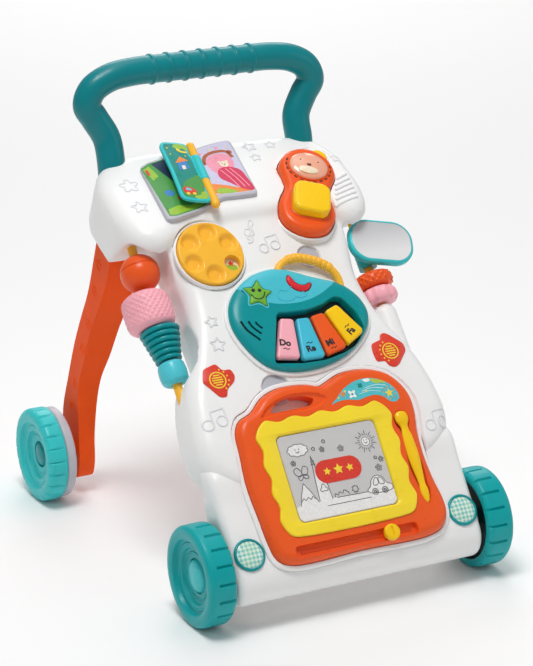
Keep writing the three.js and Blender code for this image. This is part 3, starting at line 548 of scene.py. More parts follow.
PLASTICS = {
    "white_abs": (0xF4F4F3, dict(rough=0.34, vary=0.01, grain=0.03, shine=0.4)),
    "grey_plastic": (0xBDBDC5, dict(rough=0.38, vary=0.03)),
    "teal_plastic": (0x009499, {}),
    "teal_grip": (0x007F86, dict(rough=0.34, grain=0.1)),
    "teal_tyre": (0x00A5A8, dict(rough=0.38, grain=0.12)),
    # Near-black teal that paints the shade inside hollows: the front wheels' insides and the key well's floor.
    "teal_deep": (0x02262A, dict(rough=0.5)),
    "turquoise_tyre": (0x33C6C8, dict(rough=0.38, grain=0.12)),
    "turquoise_plastic": (0x38C6CA, {}),
    "bead_turquoise": (0x52C9D6, {}),
    "key_turquoise": (0x46BFD8, {}),
    "sky_turquoise": (0x4CC2D2, dict(vary=0.02)),
    "orange_plastic": (0xF25C20, {}),
    "orange_leg": (0xFA5A1E, dict(rough=0.5, shine=0.08, coat=0.0)),
    "orange_deep": (0xD8471A, {}),
    "pink_plastic": (0xFAB0BC, dict(rough=0.36)),
    "peach_plastic": (0xF3B093, dict(rough=0.2, coat=0.5)),
    "yellow_plastic": (0xFFCC14, {}),
    "frame_yellow": (0xFFDF34, {}),
    "amber_plastic": (0xFFBC38, {}),
    "green_plastic": (0x74B537, dict(rough=0.4, grain=0.3, grain_scale=700)),
    "red_plastic": (0xDD2B33, {}),
    # mould_shadow: white plastic greyed to paint the shade along raised outlines.
    "mould_shadow": (0xE5E5E8, dict(rough=0.42)),
    "dark_plastic": (0x16292C, dict(rough=0.5)),
    "steel": (0xB9BDC2, dict(metallic=1.0, rough=0.3, grain=0.1)),
    "circuit_green": (0x2F7D4A, dict(rough=0.5)),
    "studio_floor": (0xF9F9F9, dict(rough=0.7, coat=0.0, vary=0.0, shine=0.1)),
}
PRINTS = {
    "ink_black": 0x2B2B30, "ink_white": 0xF8F8F6, "ink_red": 0xDE3A2A, "ink_orange": 0xF08A3C,
    "ink_yellow": 0xFFD83A, "ink_green": 0x9CC53B, "ink_leaf": 0x4E9B4A, "ink_teal": 0x0E8C7F,
    "ink_navy": 0x22304F, "ink_blue": 0x3E86C8, "ink_sky": 0x73CBD6, "ink_lilac": 0xCFC9E4,
    "ink_pink": 0xF39AB0, "ink_rose": 0xD92C56, "ink_brown": 0xB45A35, "ink_umber": 0x6E2A18,
    "ink_turquoise": 0x4FC3CC, "ink_grey": 0x58585E, "ink_cream": 0xFBE6C8, "sticker_red": 0xE23C28,
    "ink_leaf_light": 0xB9CC4A, "paper_white": 0xEFEDEC,
}
MATERIALS = {name: plastic(name, code, **extra) for name, (code, extra) in PLASTICS.items()}
MATERIALS.update({name: printed(name, code) for name, code in PRINTS.items()})
MATERIALS["screen_film"] = drawing_film("screen_film")
MATERIALS["mirror_film"] = mirror_film("mirror_film")
MATERIALS["lamp_checker"] = checker("lamp_checker")
SLOTS = {name: "picture_card" for name in PRINTS}
SLOTS.update({
    "teal_grip": "teal_plastic", "teal_deep": "teal_plastic", "orange_leg": "orange_plastic",
    "orange_deep": "orange_plastic", "peach_plastic": "pink_plastic", "frame_yellow": "yellow_plastic",
    "mould_shadow": "white_abs", "lamp_checker": "turquoise_plastic", "key_turquoise": "turquoise_plastic",
    "sky_turquoise": "turquoise_plastic", "bead_turquoise": "turquoise_plastic"})


# ---- White body
BODY_OUTLINE = smooth(mirrored([
    (0, -121), (60, -120), (98, -115), (121, -103), (134, -86), (138, -66), (137, -48), (134, -26),
    (127, -1), (114, 28), (101, 62), (97, 92), (101, 118), (108, 145), (108, 172), (60, 190), (0, 192)]), 150)
HEAD_OUTLINE = smooth(mirrored([
    (0, -58), (52, -60), (84, -68), (108, -78), (127, -69), (138, -42), (140, -8), (137, 22),
    (124, 46), (96, 60), (50, 63), (0, 63)]), 130)
SKIRT_OUTLINE = [(x, y + 172.8) for x, y in BODY_OUTLINE]
CASE_OUTLINE = smooth([
    (-80, -36), (0, -36), (72, -36), (88, -31), (97, -20), (99, -6), (95, 18), (93, 42), (94, 66), (98, 88),
    (98, 104), (92, 119), (80, 132), (64, 139), (46, 141.5), (28, 140), (12, 134), (4, 131.5), (-8, 135),
    (-26, 137), (-44, 136), (-60, 130), (-76, 117), (-90, 111), (-97, 100), (-99, 78), (-101.5, 48),
    (-99, 12), (-97, -12), (-93, -28)], 170)
PHONE_OUTLINE = smooth(mirrored([
    (0, -88), (21, -80), (30, -60), (28, -46), (23.5, -31), (26, -17), (30, 0), (21, 20), (0, 29)]), 120)
BODY_LAYERS = (("front_shell_skin", BODY_OUTLINE, 50, 18, FACE), ("skirt", SKIRT_OUTLINE, 110, 18, SKIRT),
               ("head", HEAD_OUTLINE, 62, 17, HEAD))
VOXEL, SMOOTHING_ROUNDS = 2.2, 9
CASE_DEPTH, TRAY_RIM = 16, 5
TRAY_LOW = -CASE_DEPTH - 3.4
LID_SEAM = 0.35
FINGER_WELLS = (((47.5, 115.5), 13), ((-39, -19), 16))
WELL_DEPTH = -2.6


def tray_room():
    return to_object("room", plate(inset(CASE_OUTLINE, -TRAY_RIM - 0.3), TRAY_LOW - 0.4, 60), BOARD)


def bead_room(side):
    """The hollow beside the body that the beads stand in."""
    s, c = math.sin(ROD_LEAN), math.cos(ROD_LEAN)
    points = [(ROD_LOW[0] + a * s - e * c, ROD_LOW[1] + a * c + e * s) for a, e in (
        (14, -70), (ROD_LENGTH - 1, -70), (ROD_LENGTH - 1, 10), (ROD_LENGTH - 6, 20), (ROD_LENGTH - 16, 25),
        (30, 25), (20, 20), (14, 10))]
    verts, faces = plate(points, *sorted((side * (ROD_X - 25), side * (ROD_X + 60))))
    return to_object("bead_room", ([(z, x, y) for x, y, z in verts], faces))


def lid_room():
    """The back cover, grown a little, so that a seam shows round it."""
    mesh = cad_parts["back_cover"].data.copy()
    grown = bmesh.new()
    grown.from_mesh(mesh)
    bmesh.ops.remove_doubles(grown, verts=grown.verts, dist=1e-6)
    grown.normal_update()
    for vert in grown.verts:
        vert.co += vert.normal * LID_SEAM * MM
    grown.to_mesh(mesh)
    grown.free()
    return add_object("lid_room", mesh)


def build_body():
    body, skirt, head = (to_object(name, slab(outline, rounding(-depth, 0, edge, 8)), at)
                         for name, outline, depth, edge, at in BODY_LAYERS)
    combine(body, skirt, how="INTERSECT")
    combine(body, head, how="UNION")
    combine(body, bead_room(-1), bead_room(1))
    remesh = body.modifiers.new("remesh", "REMESH")
    remesh.mode, remesh.voxel_size = "VOXEL", VOXEL * MM
    soften = body.modifiers.new("soften", "SMOOTH")
    soften.factor, soften.iterations = 0.5, SMOOTHING_ROUNDS
    settle(body)
    rooms = [tray_room(),
             to_object("phone_room", plate(inset(PHONE_OUTLINE, -1), -17, 50), PHONE),
             to_object("dial_room", plate(circle(DIAL_R + 3.9, count=72), 0, 40), DIAL)]
    for at, r in FINGER_WELLS:
        well = slab(circle(r, at), [(WELL_DEPTH, 1), (WELL_DEPTH + 0.8, 0), (3, 0)])
        rooms.append(to_object("well", well, FACE))
    combine(body, *rooms, lid_room())
    skin = BVHTree.FromObject(body, bpy.context.evaluated_depsgraph_get())
    finish(body, "chassis", "white_abs", "front_shell", sharp=42)
    return skin


SKIN = build_body()


def on_skin(at, x, y, reach=70):
    """Where a point of a slope's frame falls on the body's skin, and the skin's normal there."""
    start = at @ Vector((x, y, reach))
    way = ((at @ Vector((x, y, 0))) - start).normalized()
    hit, normal, _, _ = SKIN.ray_cast(start, way)
    if hit is None:
        return at @ Vector((x, y, 0)), -way
    return hit, normal


def emboss(name, at, *shapes, radius=1.2, closed=True):
    """Raised outlines on the body's skin, coloured a pale grey that paints the shade along them."""
    sunk = 0.35
    solids = []
    for shape in shapes:
        path = [on_skin(at, x, y) for x, y in shape]
        solids.append(tube([hit - normal * sunk * MM for hit, normal in path], radius * MM, 8, closed))
    piece(f"emboss_{name}", together(*solids), Matrix.Identity(4), "chassis", "mould_shadow", sharp=60)


def note(x, y, size):
    """A pair of joined quavers: two round heads and an open stroke."""
    heads = [circle(5.4 * size, (x + dx * size, y + dy * size), 28) for dx, dy in ((-7, -8), (8, -6))]
    beam = [(x + dx * size, y + dy * size) for dx, dy in ((-1.7, -8), (-1.7, 5), (13.3, 7), (13.3, -6))]
    return heads, spaced(beam, 30, closed=False)


def build_trim():
    emboss("console_left", HEAD, flower(10, (-109, 7)), star(9, 4.8, (-112, -27)))
    emboss("console_top", HEAD, star(7.5, 4, (43, 43), 100), star(6, 3.2, (67, 42), 80),
           star(6, 3.2, (42, 25)), star(7, 3.8, (128, 8)))
    emboss("face_stars", FACE, star(6.4, 3.5, (-81.5, 62), 100), star(8, 4.3, (-83.5, 37), 80))
    for name, x, y, size in (("left", -115, -36, 1), ("right", 117, -77, 1), ("middle", 8, 139, 0.9)):
        heads, beam = note(x, y, size)
        emboss(f"note_{name}", FACE, *heads)
        emboss(f"beam_{name}", FACE, beam, closed=False)
    clef = smooth([(-9, 143), (-12, 145), (-9, 149), (-4, 148), (-4, 153), (-10, 156), (-13, 151), (-8, 147),
                   (-3, 151), (-6, 159), (-3, 165), (0, 162), (-5, 155), (-8, 141), (-13, 140)],
                  70, closed=False)
    emboss("clef", FACE, clef, closed=False)
    for i in range(6):
        y = -20 - 7.2 * i
        rib = spaced([(108 - 3.2 * i, y), (126 - 1.2 * max(0, i - 1), y + 8)], 12, closed=False)
        emboss(f"rib_{i}", PHONE_PLANE, rib, radius=1.7, closed=False)
    arcs = [[polar(r, start + d, (103.6, 17)) for d in range(0, 61, 6)]
            for r, start in ((15, -20), (19.5, -20), (15, 82), (19.5, 82))]
    emboss("ear_lines", PHONE_PLANE, *arcs, radius=0.9, closed=False)
    # Painted shade: a grey disc on each finger well's floor stands in for the shade in the recess.
    for k, (at, r) in enumerate(FINGER_WELLS):
        floor = slab(circle(r - 0.1, at), [(WELL_DEPTH - 0.3, 0), (WELL_DEPTH + 0.3, 0.3)])
        piece(f"finger_well_{k}", floor, FACE, "chassis", "grey_plastic")


STICKERS = {
    "left": (-1, (-97, 0), [
        (-108.4, 13.4), (-93.5, 17.4), (-88.5, 8.8), (-80, 9.5), (-77.5, 1.4), (-81, -5), (-90, -10.6),
        (-93, -19), (-100.7, -18), (-113, 0.6)]),
    "right": (1, (95.5, -1.2), [
        (77.4, 9.5), (89.3, 12.5), (90.5, 17.6), (95.8, 19.6), (100.6, 16.4), (112.4, 4.7), (113, -3),
        (99.5, -17.2), (93.6, -19.4), (87.6, -16), (86.2, -10.5), (76.6, -10.2), (75.8, 0)]),
}


def build_stickers():
    low, high = 0.5, 0.8
    for name, (side, (x, y), outline) in STICKERS.items():
        film = slab(rounded_profile(outline, 3.2, 5, closed=True), [(0.02, 0), (0.5, 0), (0.6, 0.2)])
        piece(f"sticker_{name}", film, FACE, "chassis", "sticker_red")
        sun = [moved(turned([(7.6, low), (8.9, low), (8.9, high), (7.6, high)], 48), shift(x, y))]
        for rise, width in ((-5, 7), (-2.5, 11), (0, 12), (2.5, 11), (5, 7)):
            sun.append(plate(rounded_rect(width, 1.3, 0.6, (x, y + rise), 3), low, high))
        for degrees in range(-60, 66, 25):
            dx, dy = polar(11.5, degrees)
            sun.append(plate(circle(0.9, (x - side * dx, y + dy), 12), low, high))
        piece(f"sticker_{name}_sun", together(*sun), FACE, "chassis", "ink_yellow")


def build_base():
    profile = smooth([(12, 26), (20, 60), (36, 112), (44, 140), (20, 141), (0, 114), (-18, 90), (-36, 66),
                      (-44, 50), (-43, 36), (-35, 26)], 110)
    half = 136
    verts, faces = slab(profile, rounding(-half, half, 9, 6, 9))
    base = to_object("base_skin", ([(z, x, y) for x, y, z in verts], faces))
    combine(base, tray_room())
    finish(base, "chassis", "white_abs", "base_shell", sharp=42)
    for side, name in SIDES:
        at = BASE_FACE @ shift(side * 117.8, 0)
        rim = hoop([(13.4, -1), (16, -1), (16, 1), (14.6, 2), (13.4, 1.6)], 0.6, 72)
        piece(f"lamp_rim_{name}", rim, at, "chassis", "teal_plastic")
        dome = turned([(0, -0.5), (13.4, -0.5), (13.4, 0.9), (11, 1.9), (7, 2.7), (3, 3.0), (0, 3.1)], 72)
        piece(f"lamp_{name}", dome, at, "chassis", "lamp_checker", sharp=60)


def build_tray():
    tray = slab(inset(CASE_OUTLINE, -TRAY_RIM), rounding(TRAY_LOW, -8.8, 2.2, 5))
    hollow = plate(inset(CASE_OUTLINE, -0.6), -CASE_DEPTH - 0.4, 30)
    piece("tray_skin", tray, BOARD, "chassis", "white_abs", "board_tray", 40, [hollow])


# ---- Handle, legs, axles
BAR_Y, BAR_Z, BAR_R = 303, 469, 14.4
RINGS, RING_PITCH, RINGS_AT, RING_RISE, RING_REACH = 7, 18.7, -1, 1.42, 1.8
HANDLE_HALF = [(108, 288, 350), (108, 291, 380), (109, 299, 404), (120, BAR_Y, 425), (128, BAR_Y, 439),
               (122, BAR_Y, 454), (104, BAR_Y, 464.5), (80, BAR_Y, 468.5), (42, BAR_Y, BAR_Z)]
WHEEL_R, REAR_AXLE_Y, BORE_R = 50, 361.6, 4.2


def build_handle():
    path = [(-x, y, z) for x, y, z in HANDLE_HALF] + [(0, BAR_Y, BAR_Z)] + HANDLE_HALF[::-1]
    path = smooth(path, 760, closed=False)
    middles = [RINGS_AT + (i - (RINGS - 1) / 2) * RING_PITCH for i in range(RINGS)]
    radii = []
    for x, y, z in path:
        d = min(abs(x - middle) for middle in middles)
        radii.append(BAR_R + (RING_RISE * math.exp(-(d / RING_REACH) ** 6) if z > BAR_Z - 4 else 0))
    piece("handle_skin", tube(path, radii, 40), WORLD, "chassis", "teal_grip", "handle", sharp=50)
    for side, name in SIDES:
        sleeve = rounded_bar((side * 108, 288, 322), (side * 108, 288.5, 357), BAR_R + 3.4, 40)
        piece(f"handle_sleeve_{name}", sleeve, WORLD, "chassis", "white_abs", sharp=60)


LEG_OUTLINE = smooth([
    (352, 20), (366, 17), (380, 26), (387, 52), (386, 88), (369, 131), (352, 170), (334, 203),
    (311, 242), (286, 303), (276, 322), (254, 322), (254, 290), (268, 258), (284, 232), (309, 196),
    (326, 161), (342, 128), (345, 70), (345, 36)], 150)
LEG_X, LEG_THIN, LEG_THICK, LEG_FACE_X = 128, 18, 34, 127.6
LEG_STARS = ((352, 128, 20), (330, 172, -15), (314, 205, 30), (296, 246, -30), (283, 277, 15), (362, 100, 0))


def build_legs():
    verts, faces = slab(LEG_OUTLINE, rounding(-0.5, 0.5, 0.14, 6, 0.14))
    for side, name in SIDES:
        placed = []
        for y, z, t in verts:
            rise = min(1, max(0, (z - 50) / 170))
            thick = LEG_THIN + (LEG_THICK - LEG_THIN) * rise * rise * (3 - 2 * rise)
            placed.append((side * (LEG_X - thick / 2) + t * thick, y, z))
        piece(f"{name}_leg_skin", (placed, faces), WORLD, "chassis", "orange_leg", f"{name}_leg", sharp=45)
        marks = []
        for y, z, lean in LEG_STARS:
            shape = star(6, 3.2, start=90 + lean, count=40)
            if lean % 20 == 0:
                shape = flower(5.5, depth=0.3, start=lean, count=40)
            marks.append(tube([(side * LEG_FACE_X, y + a, z + b) for a, b in shape], 1.1, 8, closed=True))
        piece(f"{name}_leg_marks", together(*marks), WORLD, "chassis", "orange_leg", sharp=60)


def build_axles():
    for node in ("front_axle", "left_rear_axle", "right_rear_axle"):
        low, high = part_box(node)
        rod = turned(rounded_profile([(0, low.x), (0.004, low.x), (0.004, high.x), (0, high.x)], 0.0008), 40)
        at = Matrix.Translation((0, (low.y + high.y) / 2, (low.z + high.z) / 2)) @ turn(90, "Y")
        piece(f"{node}_bar", rod, at, "chassis", "steel", node)
    for side, name in SIDES:
        for part, x, y, material, radius, profile in (
                ("leg_boss", LEG_FACE_X, REAR_AXLE_Y, "orange_deep", 1, [(10, 0), (8.5, 11), (BORE_R, 11)]),
                ("base_boss", 135.8, 0, "white_abs", 0.5, [(9, 0), (8, 2.2), (BORE_R, 2.2)])):
            at = WORLD @ shift(side * x, y, WHEEL_R) @ turn(90 * side, "Y")
            piece(f"{name}_{part}", hoop([(BORE_R, 0)] + profile, radius, 48), at, "chassis", material)


# ---- Wheels: profiles are [radius, distance out from the wheel's middle]
FRONT_TYRE = [
    (37, 13.5), (36, 9), (33.5, 8.4), (33, 9.4), (31.5, 9.4), (31, 8.2), (28, 8.2), (27, 5.4), (24, 5.2),
    (23.6, 6), (22.2, 6), (21.8, 5.0), (17.2, 5), (17.2, 2), (BORE_R, 2), (BORE_R, -12), (9, -12), (9, -2),
    (38, -2), (41, -14.5), (44, -14.5), (47.6, -13.6), (49.6, -11), (WHEEL_R, -8), (WHEEL_R, 0), (WHEEL_R, 4),
    (WHEEL_R, 5.6), (WHEEL_R, 8), (49.6, 11), (47.6, 13.6), (44, 14.5), (41.5, 14.5)]
# A thin dark shell inside each front wheel that paints the shade in the wheel's hollow inner side.
FRONT_SHADE_LINER = [(9.4, -2.9), (37.4, -2.9), (40.6, -13.8), (41, -14.4), (38.2, -1.9), (9.4, -1.9)]
REAR_TYRE = [
    (36, 15), (35, 12), (32.5, 11.4), (32, 12.2), (30.5, 12.2), (30, 11), (26, 11), (25, 7.8), (22, 7.6),
    (21.6, 8.4), (20.2, 8.4), (19.8, 7.4), (14.2, 7), (14.2, 2), (BORE_R, 2), (BORE_R, -5), (20, -5),
    (44, -5), (49, -4.6), (WHEEL_R, -3.4), (WHEEL_R, 4), (WHEEL_R, 10), (49.4, 12.6), (47.4, 14.8),
    (44, 16), (41, 16)]
REAR_DISC = [(BORE_R, -14), (12, -14), (14, -12.6), (26, -13.2), (30, -15.8), (46, -16), (48.5, -14),
             (48.5, -7), (47, -5.2), (BORE_R, -5.2)]
TREAD_FROM, CAP_LOW = 43, 2.3


def tread(count, depth, low, high):
    """Narrow grooves across the part of the tyre's rim between two heights."""
    def bump(angle, radius, z):
        if radius < TREAD_FROM or not low < z < high:
            return 0
        phase = (angle * count / (2 * math.pi)) % 1
        return -depth * math.exp(-(min(phase, 1 - phase) / 0.066) ** 4)
    return bump


WHEELS = {  # x, y, tyre, steps round it, tread, tyre's material, cap's radius, cap's material
    "front": (153.6, 0, FRONT_TYRE, 360, tread(18, 2.2, -15, 5),
              "teal_tyre", 16.8, "turquoise_plastic"),
    "rear": (159.5, REAR_AXLE_Y, REAR_TYRE, 352, tread(22, 1.6, 2, 20),
             "turquoise_tyre", 13.8, "teal_plastic"),
}


def build_wheels():
    for side, name in SIDES:
        for end, (x, y, profile, steps, grooves, tyre, radius, cap) in WHEELS.items():
            wheel = f"{end}_{name}"
            place = WORLD @ shift(side * x, y, WHEEL_R) @ turn(90 * side, "Y"), f"{wheel}_wheel"
            if end == "front":
                # Painted shade: a dark shell over the inside of the front wheel's hub.
                piece(f"{wheel}_shade_liner", turned(FRONT_SHADE_LINER, 96), *place, "teal_deep", sharp=30)
            rubber = hoop(profile, 0.7, steps, 2, grooves)
            piece(f"{wheel}_tyre_skin", rubber, *place, tyre, f"{wheel}_tyre", sharp=38)
            dome = [(0, CAP_LOW), (radius, CAP_LOW), (radius, CAP_LOW + 1.6), (radius - 1, CAP_LOW + 3)]
            for a in (math.radians(d) for d in range(10, 90, 10)):
                dome.append(((radius - 1) * math.cos(a), CAP_LOW + 3 + 4.3 * math.sin(a)))
            dome.append((0, CAP_LOW + 7.3))
            piece(f"{wheel}_cap_skin", turned(dome, 72), *place, cap, f"{wheel}_cap", sharp=50)
            if end == "rear":
                disc = hoop(REAR_DISC, 0.8, 120, 2)
                piece(f"{wheel}_disc_skin", disc, *place, "grey_plastic", f"{wheel}_disc")


# ---- Beads: profiles are [radius, height along the rod]
def bead(outer, segments=96, bump=None, bore=ROD_R + 0.5):
    return turned([(bore, outer[0][1])] + outer + [(bore, outer[-1][1])], segments, bump)


def groove_ring(radius, z, wide):
    """A thin ring that shows as the seam between a bead's halves."""
    return turned([(radius[0], z), (radius[1], z), (radius[1], z + wide), (radius[0], z + wide)], 72)


def ripple(around, along, height, low, high, inner):
    """Rows of bumps, each row half a step round from the next."""
    def bump(angle, radius, z):
        if radius < inner or not low < z < high:
            return 0
        fade = min(1, (z - low) / 2.5, (high - z) / 2.5)
        row = (z - low) / (high - low) * along
        wave = math.cos(angle * around + (math.pi if int(row) % 2 else 0)) * math.sin(math.pi * (row % 1))
        return height * max(0, wave) * fade
    return bump


def flutes(angle, radius, z):
    return 0.7 * math.cos(12 * angle) if radius > 15 else 0


def fine(points, step=0.6):
    """Adds points along a profile so a ripple has something to move."""
    found = [points[0]]
    for a, b in zip(points, points[1:]):
        n = max(1, int((Vector(b) - Vector(a)).length / step))
        found += [tuple(Vector(a).lerp(Vector(b), (k + 1) / n)) for k in range(n)]
    return found


def bead_profile(points, count):
    return smooth(points, count, closed=False)


def build_beads():
    sphere = [polar(20, degrees, (0, 140.7)) for degrees in range(-72, 73, 6)]
    sphere = [(r - (0.35 if abs(z - 146.5) < 0.9 else 0), z) for r, z in sphere]
    roller = fine(rounded_profile([(18, 79.5), (22.6, 82.5), (23.6, 88), (24, 98), (23.6, 109), (22.6, 114),
                                   (18, 117)], 3, 4))
    cone = []
    for i in range(6):
        r, z = 13.2 + 1.35 * i, 46.2 + 5.9 * i
        cone += [(r - 2.4, z - 2.5), (r - 0.2, z - 1.7), (r + 0.4, z), (r, z + 1.7), (r - 1.9, z + 2.6)]
    cone = bead_profile([(10, 44.5)] + cone[1:-1] + [(17, 78.5)], 110)
    barrel = bead_profile([(9, 19.5), (12.6, 22), (14, 27), (14, 36), (12.8, 41), (9, 43.5)], 40)
    spiky = bead_profile([(14, 84.5), (18.2, 86.5), (19.6, 92.5), (18.2, 98.5), (14, 100.5)], 24)
    ring = bead_profile([(13, 66.5), (17.6, 69), (19.2, 75), (17.6, 81), (13, 83.5)], 24)
    knurls, spikes = ripple(24, 10, 1.15, 82, 114.5, 21), ripple(17, 4, 1.7, 85, 100, 15)
    left, right = rod_frame(-1), rod_frame(1)
    piece("ball_skin", bead(sphere, 72), left, "ball", "orange_plastic", "ball_bead", sharp=60)
    piece("ball_seam", groove_ring((19.1, 19.38), 146.2, 0.4), left, "ball", "orange_deep")
    piece("roller_skin", bead(roller, 216, knurls, 10.5), left @ shift(-5, 0), "roller", "pink_plastic",
          "textured_roller", sharp=70)
    piece("cone_skin", bead(cone), left, "cone", "teal_plastic", "ribbed_cone", sharp=60)
    piece("barrel_skin", bead(barrel, 72), left, "barrel", "bead_turquoise", "barrel_bead", sharp=60)
    piece("barrel_seam", groove_ring((12.9, 14.05), 30.9, 0.7), left, "barrel", "teal_plastic")
    piece("spiky_skin", bead(fine(spiky, 0.7), 192, spikes), right, "spiky", "orange_plastic",
          "spiky_ring", sharp=70)
    piece("smooth_skin", bead(fine(ring, 0.8), 144, flutes), right, "smooth", "pink_plastic",
          "smooth_ring", sharp=70)


def build_rods():
    for side, name in SIDES:
        bar = cylinder(ROD_R, -16, ROD_LENGTH + 22, 40)
        piece(f"{name}_rod_bar", bar, rod_frame(side), "chassis", "amber_plastic", f"{name}_rod")
    build_beads()
    socket = rounded_profile([(12, 12), (12, 58), (9, 63.5)], 2)
    piece("socket_skin", bead(socket, 60), rod_frame(1), "chassis", "white_abs", "rod_socket")


def build_mirror():
    place = FACE @ shift(139.5, 124.5) @ turn(-14)
    outline = rounded_rect(71.4, 49.8, 22, steps=16)
    rim = to_object("mirror_frame_skin", slab(outline, rounding(-19, -9, 3.4, 6, 3.4)), place)
    combine(rim, to_object("collar", cylinder(9.5, 108, 146), rod_frame(1)), how="UNION")
    combine(rim, to_object("seat", plate(inset(outline, 3), -10.5, 5), place),
            to_object("bore", cylinder(5, 60, 180, 40), rod_frame(1)))
    finish(rim, "mirror", "turquoise_plastic", "mirror_frame", sharp=40)
    film = slab(inset(outline, 3.2), [(-10.3, 0), (-9.3, 0), (-9.1, 0.3)])
    piece("mirror_plate_skin", film, place, "mirror", "mirror_film", "mirror_plate")


# ---- Telephone
KEY_AT = (1.4, -51)
DOME_R, DOME_LOW, DOME_RISE = 18.8, 8.6, 5.6
WIDE = Matrix.Diagonal((1.09, 0.97, 1, 1))


def on_dome(x, y):
    r = min(math.hypot(x, y) / DOME_R, 0.99)
    return DOME_LOW + DOME_RISE * math.sqrt(1 - r * r)


def build_phone():
    well = plate(rounded_rect(39.4, 41, 11, KEY_AT), 2, 28)
    collar = slab(inset(PHONE_OUTLINE, -2.9), rounding(-15, -3.4, 1.6, 5))
    plinth = slab(rounded_rect(42.8, 44.4, 12.8, KEY_AT), rounding(6, 9.6, 1.8, 5))
    piece("phone_skin", slab(PHONE_OUTLINE, rounding(-16, 8, 7, 8)), PHONE, "chassis", "orange_plastic",
          "phone_base", 40, [well])
    inside = plate(inset(PHONE_OUTLINE, -1), -30, 20)
    piece("phone_collar", collar, PHONE, "chassis", "white_abs", sharp=40, cuts=[inside])
    piece("phone_plinth", plinth, PHONE, "chassis", "orange_plastic", sharp=40, cuts=[well])
    button = slab(rounded_rect(38.4, 40, 10.4, KEY_AT, 12), rounding(6.5, 20, 3.4, 7))
    piece("phone_button_skin", button, PHONE, "phone_key", "yellow_plastic", "phone_button", sharp=45)
    dome = [(0, 8.2), (DOME_R, 8.2)]
    for a in (math.radians(d) for d in range(6, 90, 7)):
        dome.append((DOME_R * math.cos(a), DOME_LOW + DOME_RISE * math.sin(a)))
    face = turned(dome + [(0, DOME_LOW + DOME_RISE)], 96)
    piece("phone_face", moved(face, WIDE), PHONE, "chassis", "peach_plastic", "phone_dome", sharp=60)
    rim = hoop([(18.7, 7.5), (19.9, 7.5), (19.7, 9.2), (18.9, 9.4)], 0.4, 96)
    piece("phone_face_rim", moved(rim, WIDE), PHONE, "chassis", "orange_plastic")
    features = [ball(1.0, (x, y, on_dome(x, y)), (1, 1, 0.5), 8, 16) for x, y in ((-9.8, 3.4), (8.6, 3.4))]
    features.append(ball(2.3, (-1, -2.6, on_dome(1, 2.6)), (1.1, 0.7, 0.4), 8, 20))
    piece("phone_face_features", together(*features), PHONE, "chassis", "ink_umber", sharp=60)
    muzzle = ball(8, (-1, -8.4, on_dome(1, 8.4) - 0.9), (1.3, 0.72, 0.2), 12, 36)
    piece("phone_face_muzzle", muzzle, PHONE, "chassis", "ink_cream", sharp=60)
    dash = plate(rounded_rect(4.2, 1.7, 0.7, steps=3), 7.3, 8.25)
    dashes = []
    for i in range(13):
        degrees = 165 + 210 * i / 12
        dashes.append(moved(dash, turn(degrees + 90), shift(*polar(21.6, degrees)), WIDE))
    piece("phone_mane", together(*dashes), PHONE, "chassis", "ink_umber")
    ear = smooth([(17, 15), (22, 22), (20, 30), (12, 33.5), (5, 30), (9, 20)], 50)
    piece("phone_ear", slab(ear, rounding(-8, 3, 3, 6)), PHONE, "chassis", "yellow_plastic")


# ---- Page book
BOOK_OUTLINE = [
    (-95, -54), (-92, -57), (-84, -56.5), (-57, -49.5), (-40, -43), (-24, -35), (-4, -36), (13, -36),
    (16, -33), (19, 0), (24, 49), (21, 53), (6, 51.5), (-12, 48), (-28, 43), (-45, 40.5), (-66, 37), (-78, 34),
    (-87, 29.5), (-89, 26)]
LEFT_PAGE = [
    (-88, 24), (-78, 30), (-64, 33), (-44, 36), (-36, 37), (-45, -41), (-58, -46), (-84, -52), (-90, -51)]
RIGHT_PAGE = [
    (-24, 39), (-10, 44), (6, 48), (19, 49), (16, 10), (12, -31), (-3, -31), (-24, -30), (-30, -28)]
SPINE_HEIGHT, PAGE_LEAN = 10, 8


def decal(name, at, body, ink, low, high, *outlines):
    piece(name, together(*[plate(outline, low, high) for outline in outlines]), at, body, ink, sharp=20)


def decals(group, at, body, rows):
    """Thin printed shapes: each row is a name, an ink, the heights of its two faces and its outlines."""
    for name, *row in rows:
        decal(f"{group}_{name}", at, body, *row)


